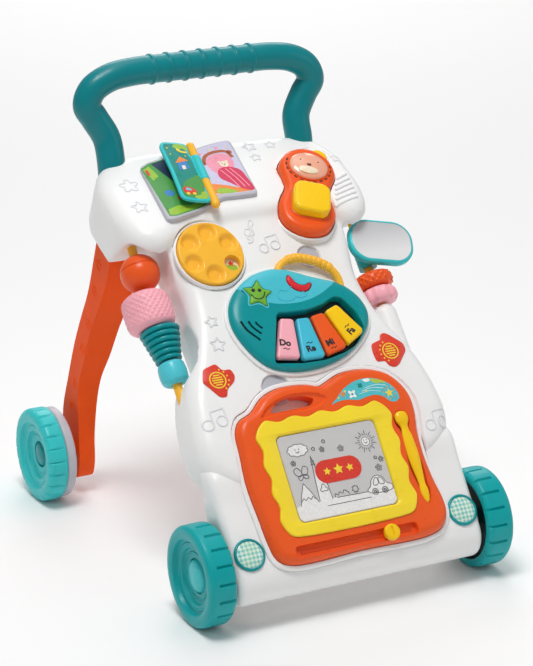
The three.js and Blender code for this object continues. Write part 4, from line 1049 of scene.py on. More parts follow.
def build_book():
    outline = spaced(rounded_profile(BOOK_OUTLINE, 3, 4, closed=True), 150)
    tray = slab(outline, rounding(-0.5, 5, 1.6, 4))
    piece("book_tray_skin", tray, HEAD, "chassis", "grey_plastic", "book_tray", sharp=40)
    bed_end = polyline(smooth([(-21, 20), (-14, 31), (0, 36), (11, 34), (14, 24)], 30, closed=False), 4)
    stripes = [polyline([(x, 8 - abs(x) * 0.2), (x + 5, -8), (x + 8, -24)], 1.2) for x in (-8, -2, 3)]
    decals("page_left", HEAD, "chassis", (
        ("ground", "ink_leaf", 4.6, 5.05, inset(LEFT_PAGE, 1.2)),
        ("sky", "ink_navy", 4.9, 5.11, [(-76, 30), (-64, 33), (-44, 36), (-36, 37), (-40, -2), (-62, -8)]),
        ("field", "ink_green", 4.9, 5.11, [(-88, 22), (-80, 27), (-76, 10), (-84, 4)],
         [(-90, -50), (-84, -51.5), (-58, -45.5), (-46, -40), (-48, -34), (-62, -40), (-76, -38),
          (-88, -42)]),
        ("flag", "ink_red", 5, 5.19, rounded_rect(3, 9, 0.5, (-85, 17))),
        ("pond", "ink_blue", 4.9, 5.15, circle(5, (-76, -18), 28)),
        ("trunk", "ink_brown", 4.9, 5.15, [(-70, -24), (-46, -20), (-47, -26), (-72, -30)])))
    decals("page_right", HEAD, "chassis", (
        ("wall", "ink_lilac", 4.6, 5.05, inset(RIGHT_PAGE, 1.2)),
        ("floor", "ink_orange", 4.9, 5.11,
         [(12, -31), (-3, -31), (-24, -30), (-30, -28), (-28, -12), (-12, -18)]),
        ("rug", "ink_green", 5, 5.17,
         smooth([(-28, -27), (-22, -21), (-12, -24), (-4, -30), (-22, -29.6)], 40)),
        ("bed", "ink_brown", 5, 5.21, bed_end, circle(3, (-21, 20), 20), circle(3, (14, 33), 20)),
        ("pillow", "ink_pink", 4.95, 5.15,
         smooth([(-18, 20), (-11, 29), (0, 32.5), (9, 30), (11, 14), (-2, 0), (-14, 2)], 60)),
        ("blanket", "ink_rose", 5, 5.25,
         smooth([(-14, -4), (-9, 8), (2, 10), (12, 4), (14.5, -12), (13.5, -30), (5, -28), (-6, -16)], 60)),
        ("stripes", "ink_pink", 5, 5.31, *stripes),
        ("teddy", "ink_cream", 5, 5.31,
         circle(4.6, (0, 15), 32), circle(1.7, (-4, 18.6), 16), circle(1.7, (4, 18.6), 16)),
        ("teddy_eyes", "ink_black", 5, 5.37,
         circle(0.6, (-1.6, 15.8), 10), circle(0.6, (1.6, 15.8), 10), circle(0.8, (0, 13.8), 10)),
        ("lights", "ink_yellow", 5, 5.17, star(2, 1, (-6, 40), count=30), star(1.6, 0.8, (14, 41), count=30)),
        ("hearts", "ink_pink", 5, 5.17, circle(2, (-19, 35), 16), flower(2.4, (3, 42)))))


def build_flip_page():
    for name, low, high, start, end in (("lower", -51.5, -10.5, -47.1, -11.1), ("upper", 28, 51, 28.6, 46.6)):
        bar = rounded_bar((0, start, SPINE_HEIGHT), (0, end, SPINE_HEIGHT), 4.6)
        foot = plate(rounded_rect(4, high - low - 8, 1, (0, (low + high) / 2)), 4.8, 9)
        piece(f"{name}_knuckle_skin", together(bar, foot), SPINE, "chassis", "amber_plastic",
              f"{name}_knuckle", sharp=50)
    at = SPINE @ shift(0, 0, SPINE_HEIGHT) @ turn(PAGE_LEAN, "Y")
    outline = smooth([(-5, -44), (-12, -45.5), (-22, -46), (-31, -44.5), (-35, -41), (-35.4, -20), (-35, 0),
                      (-35.4, 20), (-35.4, 42), (-32, 47.5), (-22, 49), (-11, 49), (-6, 47), (-5, 28),
                      (-2, 26), (-2, -8), (-5, -10)], 130)
    page = to_object("flip_page_skin", slab(outline, rounding(-1.5, 2, 1, 4, 1)), at)
    combine(page, to_object("hub", rounded_bar((0, -8.6, 0), (0, 26, 0), 5.2), at), how="UNION")
    along = turn(-90, "X"), shift(0, 0, SPINE_HEIGHT)
    combine(page, *[to_object("clear", moved(cylinder(5.4, low, high, 32), *along), SPINE)
                    for low, high in ((-56, -10.2), (27.7, 56))])
    finish(page, "page", "turquoise_plastic", "flip_page", sharp=40)
    bushes = ([(-7, -41), (-7, -30), (-12, -33), (-14, -37), (-19, -38), (-21, -42), (-13, -43)],
              [(-9, 45), (-19, 45.5), (-22, 41), (-17, 37), (-12, 39), (-8, 36), (-7, 41)])
    stars = [star(outer, inner, spot, count=20) for outer, inner, spot in (
        (1.6, 0.8, (-29, 38)), (1.3, 0.6, (-28, 28)), (1.2, 0.6, (-12, 27)))]
    decals("flip", at, "page", (
        ("night", "ink_teal", 1.6, 2.06, [(min(x, -6.5), y) for x, y in inset(outline, 3.2)]),
        ("bush", "ink_green", 1.8, 2.16, *[smooth(bush, 50) for bush in bushes]),
        ("moon", "ink_yellow", 1.8, 2.26,
         smooth([(-18, 39), (-14, 35), (-8.5, 34), (-9, 32), (-14, 32), (-19, 35)], 40)),
        ("path", "ink_leaf", 1.8, 2.12,
         smooth([(-32, -36), (-26, -18), (-14, -8), (-7, -4), (-7, -28), (-18, -40), (-28, -42)], 60)),
        ("car", "ink_red", 1.8, 2.3,
         smooth([(-31, -33), (-30, -27), (-26, -25), (-21, -26), (-17, -31), (-18, -35), (-29, -36)], 50)),
        ("car_window", "ink_sky", 1.8, 2.36,
         smooth([(-28, -30), (-26.5, -27), (-23, -27.5), (-21, -30.5)], 24)),
        ("car_wheels", "ink_yellow", 1.8, 2.4, circle(2, (-27, -36), 20), circle(2, (-20, -35.5), 20)),
        ("house", "ink_blue", 1.8, 2.26, [(-25, 2), (-13, 6), (-13, 18), (-25, 14)]),
        ("roof", "ink_orange", 1.8, 2.34, [(-27, 13), (-19, 25), (-11, 19)]),
        ("door", "ink_cream", 1.8, 2.36, [(-21, 3.4), (-17, 4.7), (-17, 11), (-21, 9.7)]),
        ("stars", "ink_yellow", 1.8, 2.26, *stars)))


# ---- Dial
HOLE_RING, FIRST_HOLE = 23.5, -38
PICTURES = (("ink_green", "ink_red"), ("ink_sky", "ink_white"), ("ink_pink", "ink_rose"),
            ("ink_yellow", "ink_teal"), ("ink_lilac", "ink_navy"), ("ink_orange", "ink_cream"))


def dial_height(x, y):
    """The dial's face: a low dome with a rounded edge and five dimples."""
    r = math.hypot(x, y)
    z = 7.4 + 0.9 * math.cos(min(r / DIAL_R, 1) * math.pi / 2)
    if r > DIAL_R - 1.6:
        z -= 1.3 * ((r - DIAL_R + 1.6) / 1.6) ** 2
    for i in range(1, 6):
        cx, cy = polar(HOLE_RING, FIRST_HOLE + 60 * i)
        d = math.hypot(x - cx, y - cy) / 9.9
        t = min(1, max(0, (1.12 - d) / 0.62))
        z -= 4.3 * t * t * (3 - 2 * t)
    return z


def build_dial():
    segments, rings = 180, 56
    profile = [(0, 1.3), (DIAL_R, 1.3)] + [(DIAL_R * k / rings, 5) for k in range(rings, -1, -1)]
    verts, faces = turned(profile, segments)
    verts = [(x, y, dial_height(x, y) if i > segments else z) for i, (x, y, z) in enumerate(verts)]
    hole = slab(circle(8.2, polar(HOLE_RING, FIRST_HOLE), 60), [(0, 0), (7, 0), (12, -3)])
    piece("dial_skin", (verts, faces), DIAL, "dial", "amber_plastic", "rotary_dial", 45, [hole])
    piece("picture_disc_skin", cylinder(DIAL_R, 0.3, 1.0, 72), DIAL, "chassis", "ink_cream", "picture_disc")
    hill = smooth([(-7, -2), (-2, 2), (4, 1), (7, -2), (4, -7), (-4, -7)], 40)
    for i, (ground, bloom) in enumerate(PICTURES):
        at = DIAL @ shift(*polar(HOLE_RING, FIRST_HOLE + 60 * i)) @ turn(60 * i)
        decal(f"dial_picture_{i}_hill", at, "chassis", ground, 1.0, 1.1, hill)
        decal(f"dial_picture_{i}_bloom", at, "chassis", bloom, 1.0, 1.2, flower(3, (1, 2.5)))
    rim = [(DIAL_R + r, z) for r, z in ((0.5, 0), (3.5, 0), (3.0, 3.2), (1.8, 4.4), (0.5, 3.4))]
    piece("dial_rim_skin", hoop(rim, 1, 120, 4), DIAL, "chassis", "white_abs", "dial_rim", sharp=50)


# ---- Piano
PIANO_OUTLINE = smooth([
    (0, -8.5), (22, -6.5), (46, 1), (66, 14), (80, 29), (84.5, 43), (82, 57), (75, 69), (64, 79), (48, 86),
    (34, 92), (20, 99), (5, 104.5), (-9, 105), (-26, 101.5), (-42, 93), (-55, 82), (-63, 68), (-65.5, 50),
    (-60, 29), (-50, 11), (-40, 1), (-21, -6.5)], 170)
KEY_WELL = rounded_profile([
    (-37, 3), (-8, -2), (18, -2.5), (41, 2), (58, 8.5), (72, 23), (68, 42), (58, 60), (50, 62), (36, 56),
    (18, 52.5), (-2, 53), (-16, 55)], 5, 5, closed=True)
PIANO_LOW, PIANO_TOP, WELL_FLOOR, BUTTON_FLOOR = 3.4, 12, 3.8, 3.7
KEYS = {  # material, outline, the label's place and lean, the place of the mark beside it
    "do": ("pink_plastic", [(-33, 9), (-32, 7), (-11, 3), (-9, 5), (-2, 44), (-4, 46), (-14, 48), (-16, 47)],
           (-20.5, 21), -14, -6.4),
    "re": ("key_turquoise", [(-7, 3), (-5, 0.5), (15.5, 0), (18, 2.5), (15, 43), (13.5, 44.5), (2.5, 45),
                             (0.7, 43.5)], (4.5, 10.5), 2, 6.2),
    "mi": ("orange_plastic", [(20, 3.5), (22, 1.3), (42, 6), (44, 9), (32.5, 45.5), (30.5, 47), (19.5, 45.5),
                              (17.5, 44)], (27, 13.5), 12, -6.4),
    "fa": ("yellow_plastic", [(45.5, 11), (48, 9), (66, 18.5), (68, 22.5), (51.5, 51), (49, 53), (37, 49),
                              (35.1, 46.5)], (54, 22), 32, 6.2),
}
KEY_TOP, LETTER_SIZE = 13.5, 9.2
STAR_AT, STAR_LEAN = (-29.5, 77.5), 74
MOON = smooth([(10.5, 93), (6.5, 88), (8.5, 80), (15.5, 74), (24.5, 73), (30.5, 78), (31, 81), (22.5, 79.5),
               (15.5, 83), (12.5, 89)], 90)
SOUND_SLOTS = [[(-57, 52.5), (-54, 42.5), (-44, 29)], [(-49.5, 51), (-47.5, 44.5), (-40.5, 35.5)],
               [(-42.5, 49), (-41, 45.5), (-37.5, 41)]]
CARRY_PATH = [(3, 97, 4), (6, 105, 5.8), (16, 111, 7.6), (28, 112, 8), (40, 108.5, 8), (52, 102.5, 8),
              (61, 94.5, 7.4), (66, 84, 5.8), (66, 72, 4)]
RIBS_FROM, RIBS_TO, RIB_PITCH = 22, 71, 5.4


def dome_levels(low, wall_top, top, reach, steps=10):
    """A wall that bends over into a broad low dome."""
    inset_low = 0.3
    levels = [(low, inset_low)]
    for a in (math.pi / 2 * i / steps for i in range(steps + 1)):
        levels.append((wall_top + (top - wall_top) * math.sin(a), inset_low + reach * (1 - math.cos(a))))
    return levels


def lettering(name, text, at, body, height=0.25):
    """Small raised letters on a slope."""
    curve = bpy.data.curves.new(name, "FONT")
    curve.body, curve.size, curve.extrude = text, LETTER_SIZE, height / 2
    curve.align_x, curve.align_y, curve.offset = "CENTER", "CENTER", 0.4
    curve.resolution_u = 4
    made = add_object(name, curve)
    bpy.context.view_layer.update()
    mesh = bpy.data.meshes.new_from_object(made.evaluated_get(bpy.context.evaluated_depsgraph_get()))
    bpy.data.objects.remove(made)
    mesh.transform(at)
    finish(add_object(name, mesh), body, "ink_black")


def build_piano():
    base = slab(inset(PIANO_OUTLINE, -3.2), rounding(0.3, 3.1, 1.4, 5))
    door_gap = plate(rounded_rect(62.6, 34.6, 4, (2, 62)), 0, 1.9)
    piece("piano_base_skin", base, FACE, "piano", "white_abs", "piano_base", 40, [door_gap])
    levels = dome_levels(PIANO_LOW, 4.6, PIANO_TOP, 15)
    star_hole = plate(star(15.7, 9.4, STAR_AT, STAR_LEAN), BUTTON_FLOOR, 30)
    moon_hole = plate(inset(MOON, -0.6), BUTTON_FLOOR, 30)
    well = slab(KEY_WELL, [(WELL_FLOOR, 0.8), (9, 0), (11, -0.2), (12.4, -1.4)])
    slots = [spaced(smooth(p, 16, closed=False), 16, closed=False) for p in SOUND_SLOTS]
    holes = [star_hole, moon_hole, well] + [plate(polyline(p, 2.4), 9.2, 20) for p in slots]
    case = slab(PIANO_OUTLINE, levels)
    piece("piano_case_skin", case, FACE, "piano", "teal_plastic", "piano_case", 35, holes)
    # Painted shade: dark strips at the foot of the shallow sound slots stand in for the shade inside them.
    decal("speaker_slot_shade", FACE, "piano", "dark_plastic", 9.1, 9.9, *[polyline(p, 2.5) for p in slots])
    # Painted shade: a near-black sheet on the key well's floor stands in for the shade down in the well.
    floor = inset(KEY_WELL, 0.9)
    decal("key_well_shade", FACE, "piano", "teal_deep", WELL_FLOOR - 0.1, WELL_FLOOR + 0.1, floor)
    build_sky(levels, star_hole, moon_hole)
    build_buttons()
    build_keys()
    build_carry_handle()


def build_sky(levels, star_hole, moon_hole):
    """The lighter printed top of the piano, just proud of the case, with its cloud and halo."""
    region = smooth([(-58, 98), (-46, 87.5), (-34, 74.6), (-20, 66.6), (-9, 63.6), (6, 62), (21, 63),
                     (36, 67), (48, 72.6), (58, 79), (64, 90), (40, 108), (0, 116), (-40, 112)], 90)
    sky = to_object("piano_sky", slab(PIANO_OUTLINE, [(z + 0.14, by - 0.12) for z, by in levels]), FACE)
    combine(sky, to_object("region", plate(region, 5.2, 30), FACE), how="INTERSECT")
    combine(sky, *[to_object("hole", hole, FACE) for hole in (star_hole, moon_hole)])
    finish(sky, "piano", "sky_turquoise", sharp=35)
    halo = slab(star(17.6, 11.3, STAR_AT, STAR_LEAN), [(11.6, 0), (12.3, 0), (12.5, 0.3)])
    piece("star_halo", halo, FACE, "piano", "sky_turquoise", cuts=[star_hole])
    cloud = smooth([(-9, 73), (-5, 78), (2, 76.5), (8, 80), (15, 78), (19, 73), (22, 69), (16, 66.8),
                    (10, 68.3), (4, 65.5), (-3, 66), (-8, 68.5)], 80)
    line = tube([(x, y, PIANO_TOP + 0.1) for x, y in cloud], 0.55, 8, closed=True)
    piece("piano_cloud", line, FACE, "piano", "key_turquoise", sharp=60)


def build_buttons():
    button = slab(star(15, 8.7, STAR_AT, STAR_LEAN), [(6.4, 0), (12.3, 0), (13.4, 0.5), (14, 1.5)])
    piece("star_button_skin", button, FACE, "star", "green_plastic", "star_button", sharp=50)
    smile = smooth([(-8, 0.5), (-5.5, -4), (-1, -6), (4, -4.4), (7.4, 0.8)], 30, closed=False)
    marks = [plate(polyline(smile, 1.1), 13.8, 14.15)]
    marks += [plate(circle(1.9, eye, 24), 13.8, 14.2) for eye in ((-4.2, 4.4), (2.4, 3.2))]
    piece("star_face", moved(together(*marks), shift(*STAR_AT)), FACE, "star", "ink_black")
    moon = slab(MOON, [(6.4, 0), (11.8, 0), (13, 0.5), (13.6, 1.3)])
    piece("moon_button_skin", moon, FACE, "moon", "red_plastic", "moon_button", sharp=50)


def build_keys():
    mark = plate(polyline([(-3.4, 0), (-0.8, 1.0), (0.8, -0.6), (3.4, 0.6)], 1.0), 13.3, 13.62)
    for name, (material, outline, label, lean, drop) in KEYS.items():
        body = f"key_{name}_lever"
        shape = rounded_profile(outline, 3.4, 5, closed=True)
        key = slab(shape, [(7, 0)] + rounding(7.4, KEY_TOP, 2.6, 6)[1:])
        piece(f"key_{name}_skin", key, FACE, body, material, f"key_{name}", sharp=50)
        at = FACE @ shift(*label) @ turn(lean)
        lettering(f"key_{name}_label", name.capitalize(), at @ shift(0, 0, KEY_TOP), body)
        piece(f"key_{name}_mark", mark, at @ shift(1, drop), body, "ink_black")


def build_carry_handle():
    path = smooth(CARRY_PATH, 300, closed=False)
    run, radii = 0.0, []
    for i, p in enumerate(path):
        run += (Vector(p) - Vector(path[i - 1])).length if i else 0
        rib = abs(math.sin(math.pi * (run - RIBS_FROM) / RIB_PITCH)) ** 0.4
        radii.append(3.9 + (1.1 * rib if RIBS_FROM < run < RIBS_TO else 0))
    bar = tube(path, radii, 24)
    piece("carry_handle_skin", bar, FACE, "piano", "amber_plastic", "carry_handle", sharp=60)


# ---- Drawing board
HAND_HOLE = rounded_profile([
    (-56, 111.5), (-12, 112.5), (-7, 119), (-18, 123.5), (-34, 125), (-48, 121.5), (-57, 114.5)],
    5, 5, closed=True)
HAND_ARCH = smooth([(-70, 108.6), (-62, 117), (-48, 123.6), (-30, 126.6), (-12, 125), (0, 121.5), (5, 117),
                    (-2, 111), (-14, 108), (-50, 108)], 80)
PEN_OUTLINE = smooth([
    (79, -4.5), (83.5, 6), (83, 13), (84, 30), (81.5, 72), (85, 80), (82, 88), (75, 89), (70.5, 84),
    (70.5, 77), (73.5, 71), (71.5, 30), (74.5, 13), (74.5, 6)], 120)
PEN_AT = (78, 0, -0.9)
PEN_PROFILE = smooth([
    (0, -5), (1.8, -4.2), (3.3, -1), (4.3, 4), (4.5, 8.5), (3.6, 13.5), (3.9, 18), (5, 28), (6.1, 40),
    (6.1, 52), (5.4, 64), (4, 71.5), (4.6, 75.5), (6.6, 79), (7.3, 83), (6.4, 87), (4, 89.3), (0, 90)],
    90, closed=False)
FRAME_LEFT, FRAME_RIGHT, FRAME_LOW, FRAME_HIGH, WAVE = -82, 68, -13, 105, 1.7
SCREEN_AT, SCREEN_SIZE = (-7.5, 43.5), (108, 87)
TRACK_AT, KNOB_AT = (-8, -27), (28, -27)


def wavy_frame():
    left, right, low, high = FRAME_LEFT, FRAME_RIGHT, FRAME_LOW, FRAME_HIGH
    points = [(left + 18, low), (right - 18, low), (right - 8, low + 2.5), (right - 3, low + 9)]

    def side(start, end, waves, place):
        for i in range(waves * 14 + 1):
            t = i / (waves * 14)
            points.append(place(start + (end - start) * t, WAVE * math.cos(t * waves * 2 * math.pi)))

    side(low + 18, high - 16, 3, lambda y, w: (right - WAVE + w, y))
    points.append((right - 5, high - 7))
    side(right - 14, left + 14, 4, lambda x, w: (x, high - WAVE + w))
    points.append((left + 5, high - 7))
    side(high - 16, low + 18, 3, lambda y, w: (left + WAVE - w, y))
    points += [(left + 3, low + 9), (left + 8, low + 2.5)]
    return smooth(points, 360, fine=6)


def screen_outline(grow, radius=6):
    return rounded_rect(SCREEN_SIZE[0] + grow, SCREEN_SIZE[1] + grow, radius, SCREEN_AT)


def build_board():
    frame_shape = wavy_frame()
    edge = 9.5
    levels = [(-CASE_DEPTH, 1.2), (-CASE_DEPTH + 1, 0)]
    for a in (math.pi / 2 * i / 8 for i in range(9)):
        levels.append((-edge + edge * math.sin(a), edge * (1 - math.cos(a))))
    tools = [slab(HAND_HOLE, [(-40, 0), (-3, 0), (20, -2)]),
             slab(HAND_ARCH, [(-2.6, 2.2), (-1.2, 0.6), (1, -0.6)]),
             slab(inset(PEN_OUTLINE, -0.9), [(-5.3, 0), (-0.8, 0), (2, -1.6)]),
             slab(rounded_rect(134, 12, 4, TRACK_AT), [(-5, 0), (-0.6, 0), (3, -1)]),
             plate(inset(frame_shape, -0.4), -3.3, 20),
             plate(screen_outline(-10, 1), -8, 20),
             plate(rounded_rect(150, 110, 6, (-7, 42)), -40, -edge)]
    case = slab(CASE_OUTLINE, levels)
    piece("board_case_skin", case, BOARD, "board", "orange_plastic", "board_case", 38, tools)
    border = slab(frame_shape, [(-3, 0), (0.6, 0), (1.4, 0.35), (1.85, 0.9), (2, 1.7)])
    window = slab(screen_outline(0.6), [(-10, 0), (-0.3, 0), (0.9, -0.7), (2.4, -2.6)])
    piece("board_frame_skin", border, BOARD, "board", "frame_yellow", "board_frame", 40, [window])
    film = plate(screen_outline(-0.6, 5.7), -3, -0.4)
    piece("drawing_screen_skin", film, BOARD, "board", "screen_film", "drawing_screen")
    pen = moved(turned(PEN_PROFILE, 48), turn(-90, "X"), Matrix.Diagonal((1, 1, 0.54, 1)), shift(*PEN_AT))
    piece("magic_pen_skin", pen, BOARD, "pen", "yellow_plastic", "magic_pen", sharp=60)
    knob = turned(rounded_profile(
        [(0, -4.7), (5.4, -4.7), (5.4, 0.4), (8.1, 0.5), (8.1, 4.4), (7.3, 5.8), (0, 5.8)], 0.7, 4), 72)
    slit = plate(rounded_rect(1.7, 10.5, 0.8, steps=5), 4.6, 9)
    at = BOARD @ shift(*KNOB_AT)
    piece("eraser_knob_skin", knob, at, "eraser", "yellow_plastic", "eraser_knob", 40, [slit])
    track = slab(rounded_rect(122, 3, 1.4, TRACK_AT, 5), [(-5.2, 0), (-4.6, 0), (-4.4, 0.2)])
    piece("eraser_track", track, BOARD, "board", "orange_deep")
    build_label()
    build_screen_art()


def build_label():
    shape = smooth([(8, 109), (15, 114), (25, 122), (38, 127.5), (52, 129), (65, 126), (76, 119), (82, 110),
                    (82, 103), (77, 100.3), (71, 102), (66, 107), (58, 110.6), (48, 110.2), (38, 108.6),
                    (28, 110.6), (18, 111)], 120)
    bush = smooth([(56, 127.4), (60, 123), (64, 121.5), (68, 122), (71, 120.5), (72, 121.8), (65, 125.6)], 40)
    cloud = smooth([(48, 127.6), (52, 125), (57, 126.4), (55, 128.3)], 24)
    sun = (73, 110)
    rays = [polyline([polar(5.4, 36 * k + 18, sun), polar(7.6, 36 * k + 18, sun)], 0.9) for k in range(10)]
    arcs = [polyline(smooth([(x, y), (x + 12, y + 1.8), (x + 24, y - 0.6)], 14, closed=False), 0.4)
            for x, y in ((40, 114), (44, 116.6), (48, 119))]
    decals("label", BOARD, "board", (
        ("sky", "ink_turquoise", -0.6, 0.12, shape),
        ("bush", "ink_leaf_light", 0, 0.2, bush),
        ("white", "ink_white", 0, 0.2, cloud, flower(5, (33, 115.4), 4, 0.35, 45)),
        ("middles", "ink_teal", 0, 0.28,
         circle(1.1, (33, 115.4), 16), rounded_rect(4.6, 4.2, 0.8, (44, 122.6), 3)),
        ("flower", "ink_orange", 0, 0.2, flower(3, (23, 117))),
        ("dots", "ink_yellow", 0, 0.2, circle(1, (17, 114), 14), circle(1.1, (26, 119.6), 14),
         circle(1, (49, 116), 14), star(4.6, 2.3, sun)),
        ("rays", "ink_orange", 0, 0.2, *rays),
        ("arcs", "ink_white", 0, 0.2, *arcs)))


def loop(points, count):
    return smooth(points, count), True


def stroke(points, count):
    return smooth(points, count, closed=False), False


def scenery():
    """The screen's drawn hill, tower, grass and butterfly, as (points, closed)."""
    return [
        loop([(-45, 47), (-49, 53.5), (-53, 51), (-51, 46), (-47, 45)], 24),
        loop([(-45, 47), (-42, 54), (-38, 52.5), (-39, 47), (-42, 45)], 24),
        loop([(-45, 46), (-50, 43.5), (-48, 40.5), (-45, 43)], 18),
        loop([(-44.4, 46), (-40, 45), (-39, 42), (-43, 42)], 18),
        ([(-56, 16), (-52.5, 26), (-47, 37.5), (-41, 27), (-36, 16.5)], False),
        ([(-54, 20), (-51, 23), (-49, 20.5), (-46, 23.4), (-43.5, 20.6), (-41, 23.6), (-38.6, 20)], False),
        ([(-35, 17), (-33.4, 40), (-32, 54), (-31.2, 63), (-29.6, 54), (-28.4, 40)], False),
        ([(-33.4, 54), (-28, 54)], False), (circle(1.5, (-30.8, 57), 14), True),
        ([(-21, 17), (-22, 34), (-28.2, 38)], False), (flower(4.4, (-27, 29), 3, 0.3, 90, 30), True),
        stroke([(-18, 18), (-17, 21.5), (-14, 20), (-12, 22.6), (-9, 20.6), (-7, 23.6), (-3, 21),
                (-2, 18.5)], 30),
        (flower(3.8, (5.5, 22.5), 7, 0.2, 90, 34), True), ([(5.5, 18.6), (5.5, 17.6)], False),
        ([(-16, 17.6), (18, 17)], False), ([(-28, 11.4), (20, 11.2)], False)]


def build_screen_art():
    film, line_width = -0.4, 0.7
    ground = [(-61, 15), (-56, 17), (-53, 24), (-47, 37.5), (-41, 27), (-36, 16.5), (-34, 26), (-32.5, 40),
              (-31, 46), (-29, 40), (-23, 33), (-21, 18), (46, 17), (46, 5), (42, 1.2), (-57, 1.2),
              (-60.6, 5)]
    puffs = [1 + 0.14 * abs(math.sin(4.5 * math.radians(4 * i))) for i in range(90)]
    cloud = [(-42.5 + 10 * r * math.cos(math.radians(4 * i)), 70.6 + 5.6 * r * math.sin(math.radians(4 * i)))
             for i, r in enumerate(puffs)]
    sun_at, wheels = (31.5, 66.5), ((25.8, 15.8), (36.6, 15.8))
    car = loop([(18, 18.5), (22, 21.6), (25, 28), (31, 31.5), (37, 29), (40.5, 22.5), (45.5, 20), (45, 15.6),
                (20, 15.6)], 50)
    strokes = [(cloud, True), (circle(4.6, sun_at, 30), True), car,
               loop([(26, 22.4), (28, 28), (31, 29.4), (31, 22.6)], 20),
               loop([(33, 22.6), (33, 29.2), (36, 27.8), (38, 22.6)], 20),
               stroke([(29.6, 66), (31.5, 64.6), (33.4, 66)], 8),
               stroke([(-45, 69.4), (-43, 68), (-41, 69.4)], 8)]
    for at in wheels:
        strokes += [(circle(3.1, at, 22), True), (circle(1.2, at, 12), True)]
    for k in range(22):
        a = 360 * k / 22
        strokes.append(([polar(6.4, a, sun_at), polar(11.5 if k % 2 else 8.6, a, sun_at)], False))
    for x, y, r in ((-26, 69, 2), (-17, 67, 3), (-13, 74.5, 2), (3, 64.5, 3.4), (-51, 58.5, 3), (42, 46.5, 3),
                    (37, 38.6, 3.6), (36.5, 49, 1.8)):
        strokes.append((flower(r, (x, y), 5, 0.25, 90, 24), True))
        if r > 2:
            strokes.append((circle(r * 0.35, (x, y), 10), True))
    lines = []
    for points, closed in strokes + scenery():
        ring = points + points[:1] if closed else points
        lines += [polyline([a, b], line_width) for a, b in zip(ring, ring[1:])]
    eyes = [circle(0.6, at, 10) for at in ((30, 68), (33, 68), (-45, 71.4), (-41, 71.4))]
    decals("drawn", BOARD, "board", (
        ("ground", "paper_white", film - 0.2, film + 0.06, ground),
        ("cloud_fill", "paper_white", film - 0.2, film + 0.06, cloud),
        ("sun_fill", "paper_white", film - 0.2, film + 0.06, circle(5.4, sun_at, 30)),
        ("car_fill", "paper_white", film - 0.2, film + 0.08, car[0], *[circle(3.3, at, 22) for at in wheels]),
        ("lines", "ink_grey", film - 0.2, film + 0.14, *lines, *eyes)))
    pill = rounded_rect(50, 23, 11.4, (-6, 44.5), 12)
    stars = [star(5.4, 2.9, (-6, 44.8), 90, 50)]
    stars += [star(4, 2.1, (x, 44.5), start, 40) for x, start in ((-18.5, 78), (6.5, 102))]
    decal("screen_pill", BOARD, "board", "ink_red", film - 0.2, film + 0.4, pill)
    decal("screen_pill_stars", BOARD, "board", "ink_yellow", film, film + 0.55, *stars)


# ---- Screws and the nodes that show as they are
SCREWS = (
    ("cover", FACE, -50.2, "chassis",
     ((0, -62), (62, 40), (-62, 40), (52, 118), (-52, 118), (80, -20), (-80, -20))),
    ("head", HEAD, -62.2, "chassis", ((84, 20), (-84, 20), (70, -40), (-70, -40))),
    ("board", BOARD, -CASE_DEPTH + 0.2, "board", ((-78, -10), (64, -10), (-78, 92), (64, 92))),
)
NODE_LOOKS = {"back_cover": "white_abs", "battery_door": "grey_plastic", "speaker": "dark_plastic",
              "circuit_board": "circuit_green", "page_pin": "steel", "board_back": "orange_plastic"}


def build_screws():
    head = turned(rounded_profile([(0, -1), (3.6, -1), (3.6, 0.7), (2.6, 1.1), (0, 1.2)], 0.3), 36)
    slot = plate(rounded_rect(0.9, 4, 0.3, steps=2), 0.3, 3)
    for group, plane, depth, body, spots in SCREWS:
        for k, (x, y) in enumerate(spots):
            at = plane @ shift(x, y, depth) @ turn(180, "Y")
            piece(f"{group}_screw_{k}", head, at, body, "steel", sharp=40, cuts=[slot])


def dress_nodes():
    """CAD nodes that show as they are get the same materials as the other pieces."""
    for name, material in NODE_LOOKS.items():
        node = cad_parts[name]
        node.data.materials.clear()
        node.data.materials.append(MATERIALS[material])


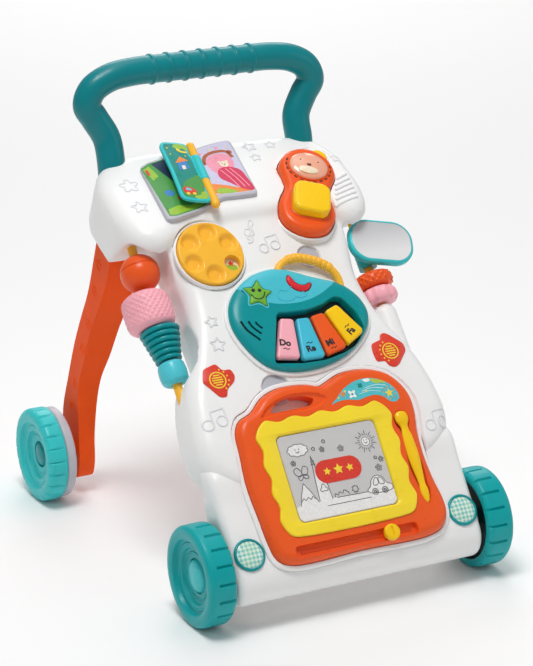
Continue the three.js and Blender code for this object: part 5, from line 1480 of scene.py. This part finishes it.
# ---- Studio: metres
FLOOR_REACH = 40
EYE, AIM = (-1115.1, -1950.8, 1026.6), (-11.95, 136.36, 229.37)
SENSOR, FOCAL_PIXELS, PICTURE_HEIGHT = 36, 2500, 666
LIGHTS = {  # place, target, size, power
    "key": ((-0.5, -0.45, 2.4), (0, 0, 0.2), 0.9, 31),
    "fill": ((1.9, -1.2, 1.1), (0, 0, 0.25), 1.4, 3),
    "top": ((0.3, 0.5, 2.3), (0, 0, 0.2), 1.2, 6),
    "backdrop": ((1.5, 3.1, 2.3), (1.2, 2.3, 0), 2.6, 50),
}
for spot in range(1, 5):
    bearing = 63 + 72 * spot
    LIGHTS[f"backdrop_{spot}"] = (*polar(2.6, bearing), 2.2), (*polar(4.2, bearing), 0), 2.0, 14


def look(obj, place, target):
    obj.location = place
    obj.rotation_euler = (Vector(target) - Vector(place)).to_track_quat("-Z", "Y").to_euler()


def build_studio():
    floor_mesh = bpy.data.meshes.new("studio_floor")
    corners = [(x * FLOOR_REACH, y * FLOOR_REACH, 0) for x, y in ((-1, -1), (1, -1), (1, 1), (-1, 1))]
    floor_mesh.from_pydata(corners, [], [(0, 1, 2, 3)])
    floor_mesh.materials.append(MATERIALS["studio_floor"])
    add_object("studio_floor", floor_mesh)
    world = bpy.data.worlds.new("studio_world")
    world.use_nodes = True
    background = world.node_tree.nodes["Background"]
    background.inputs["Color"].default_value = (1, 1, 1, 1)
    background.inputs["Strength"].default_value = 0.3
    bpy.context.scene.world = world
    for name, (place, target, size, power) in LIGHTS.items():
        light = bpy.data.lights.new(name, "AREA")
        light.shape, light.size, light.energy = "DISK", size, power
        look(add_object(name, light), place, target)
    bpy.context.scene.view_settings.view_transform = "Standard"
    camera = bpy.data.cameras.new("camera")
    camera.lens, camera.sensor_width = SENSOR * FOCAL_PIXELS / PICTURE_HEIGHT, SENSOR
    camera.clip_start, camera.clip_end = 0.05, 60
    view = add_object("camera", camera)
    look(view, DATUM + Vector(EYE) * MM, DATUM + Vector(AIM) * MM)
    bpy.context.scene.camera = view


for build in (build_trim, build_stickers, build_base, build_tray, build_handle, build_legs, build_axles,
              build_wheels, build_rods, build_mirror, build_phone, build_book, build_flip_page, build_dial,
              build_piano, build_board, build_screws, dress_nodes, build_studio):
    build()
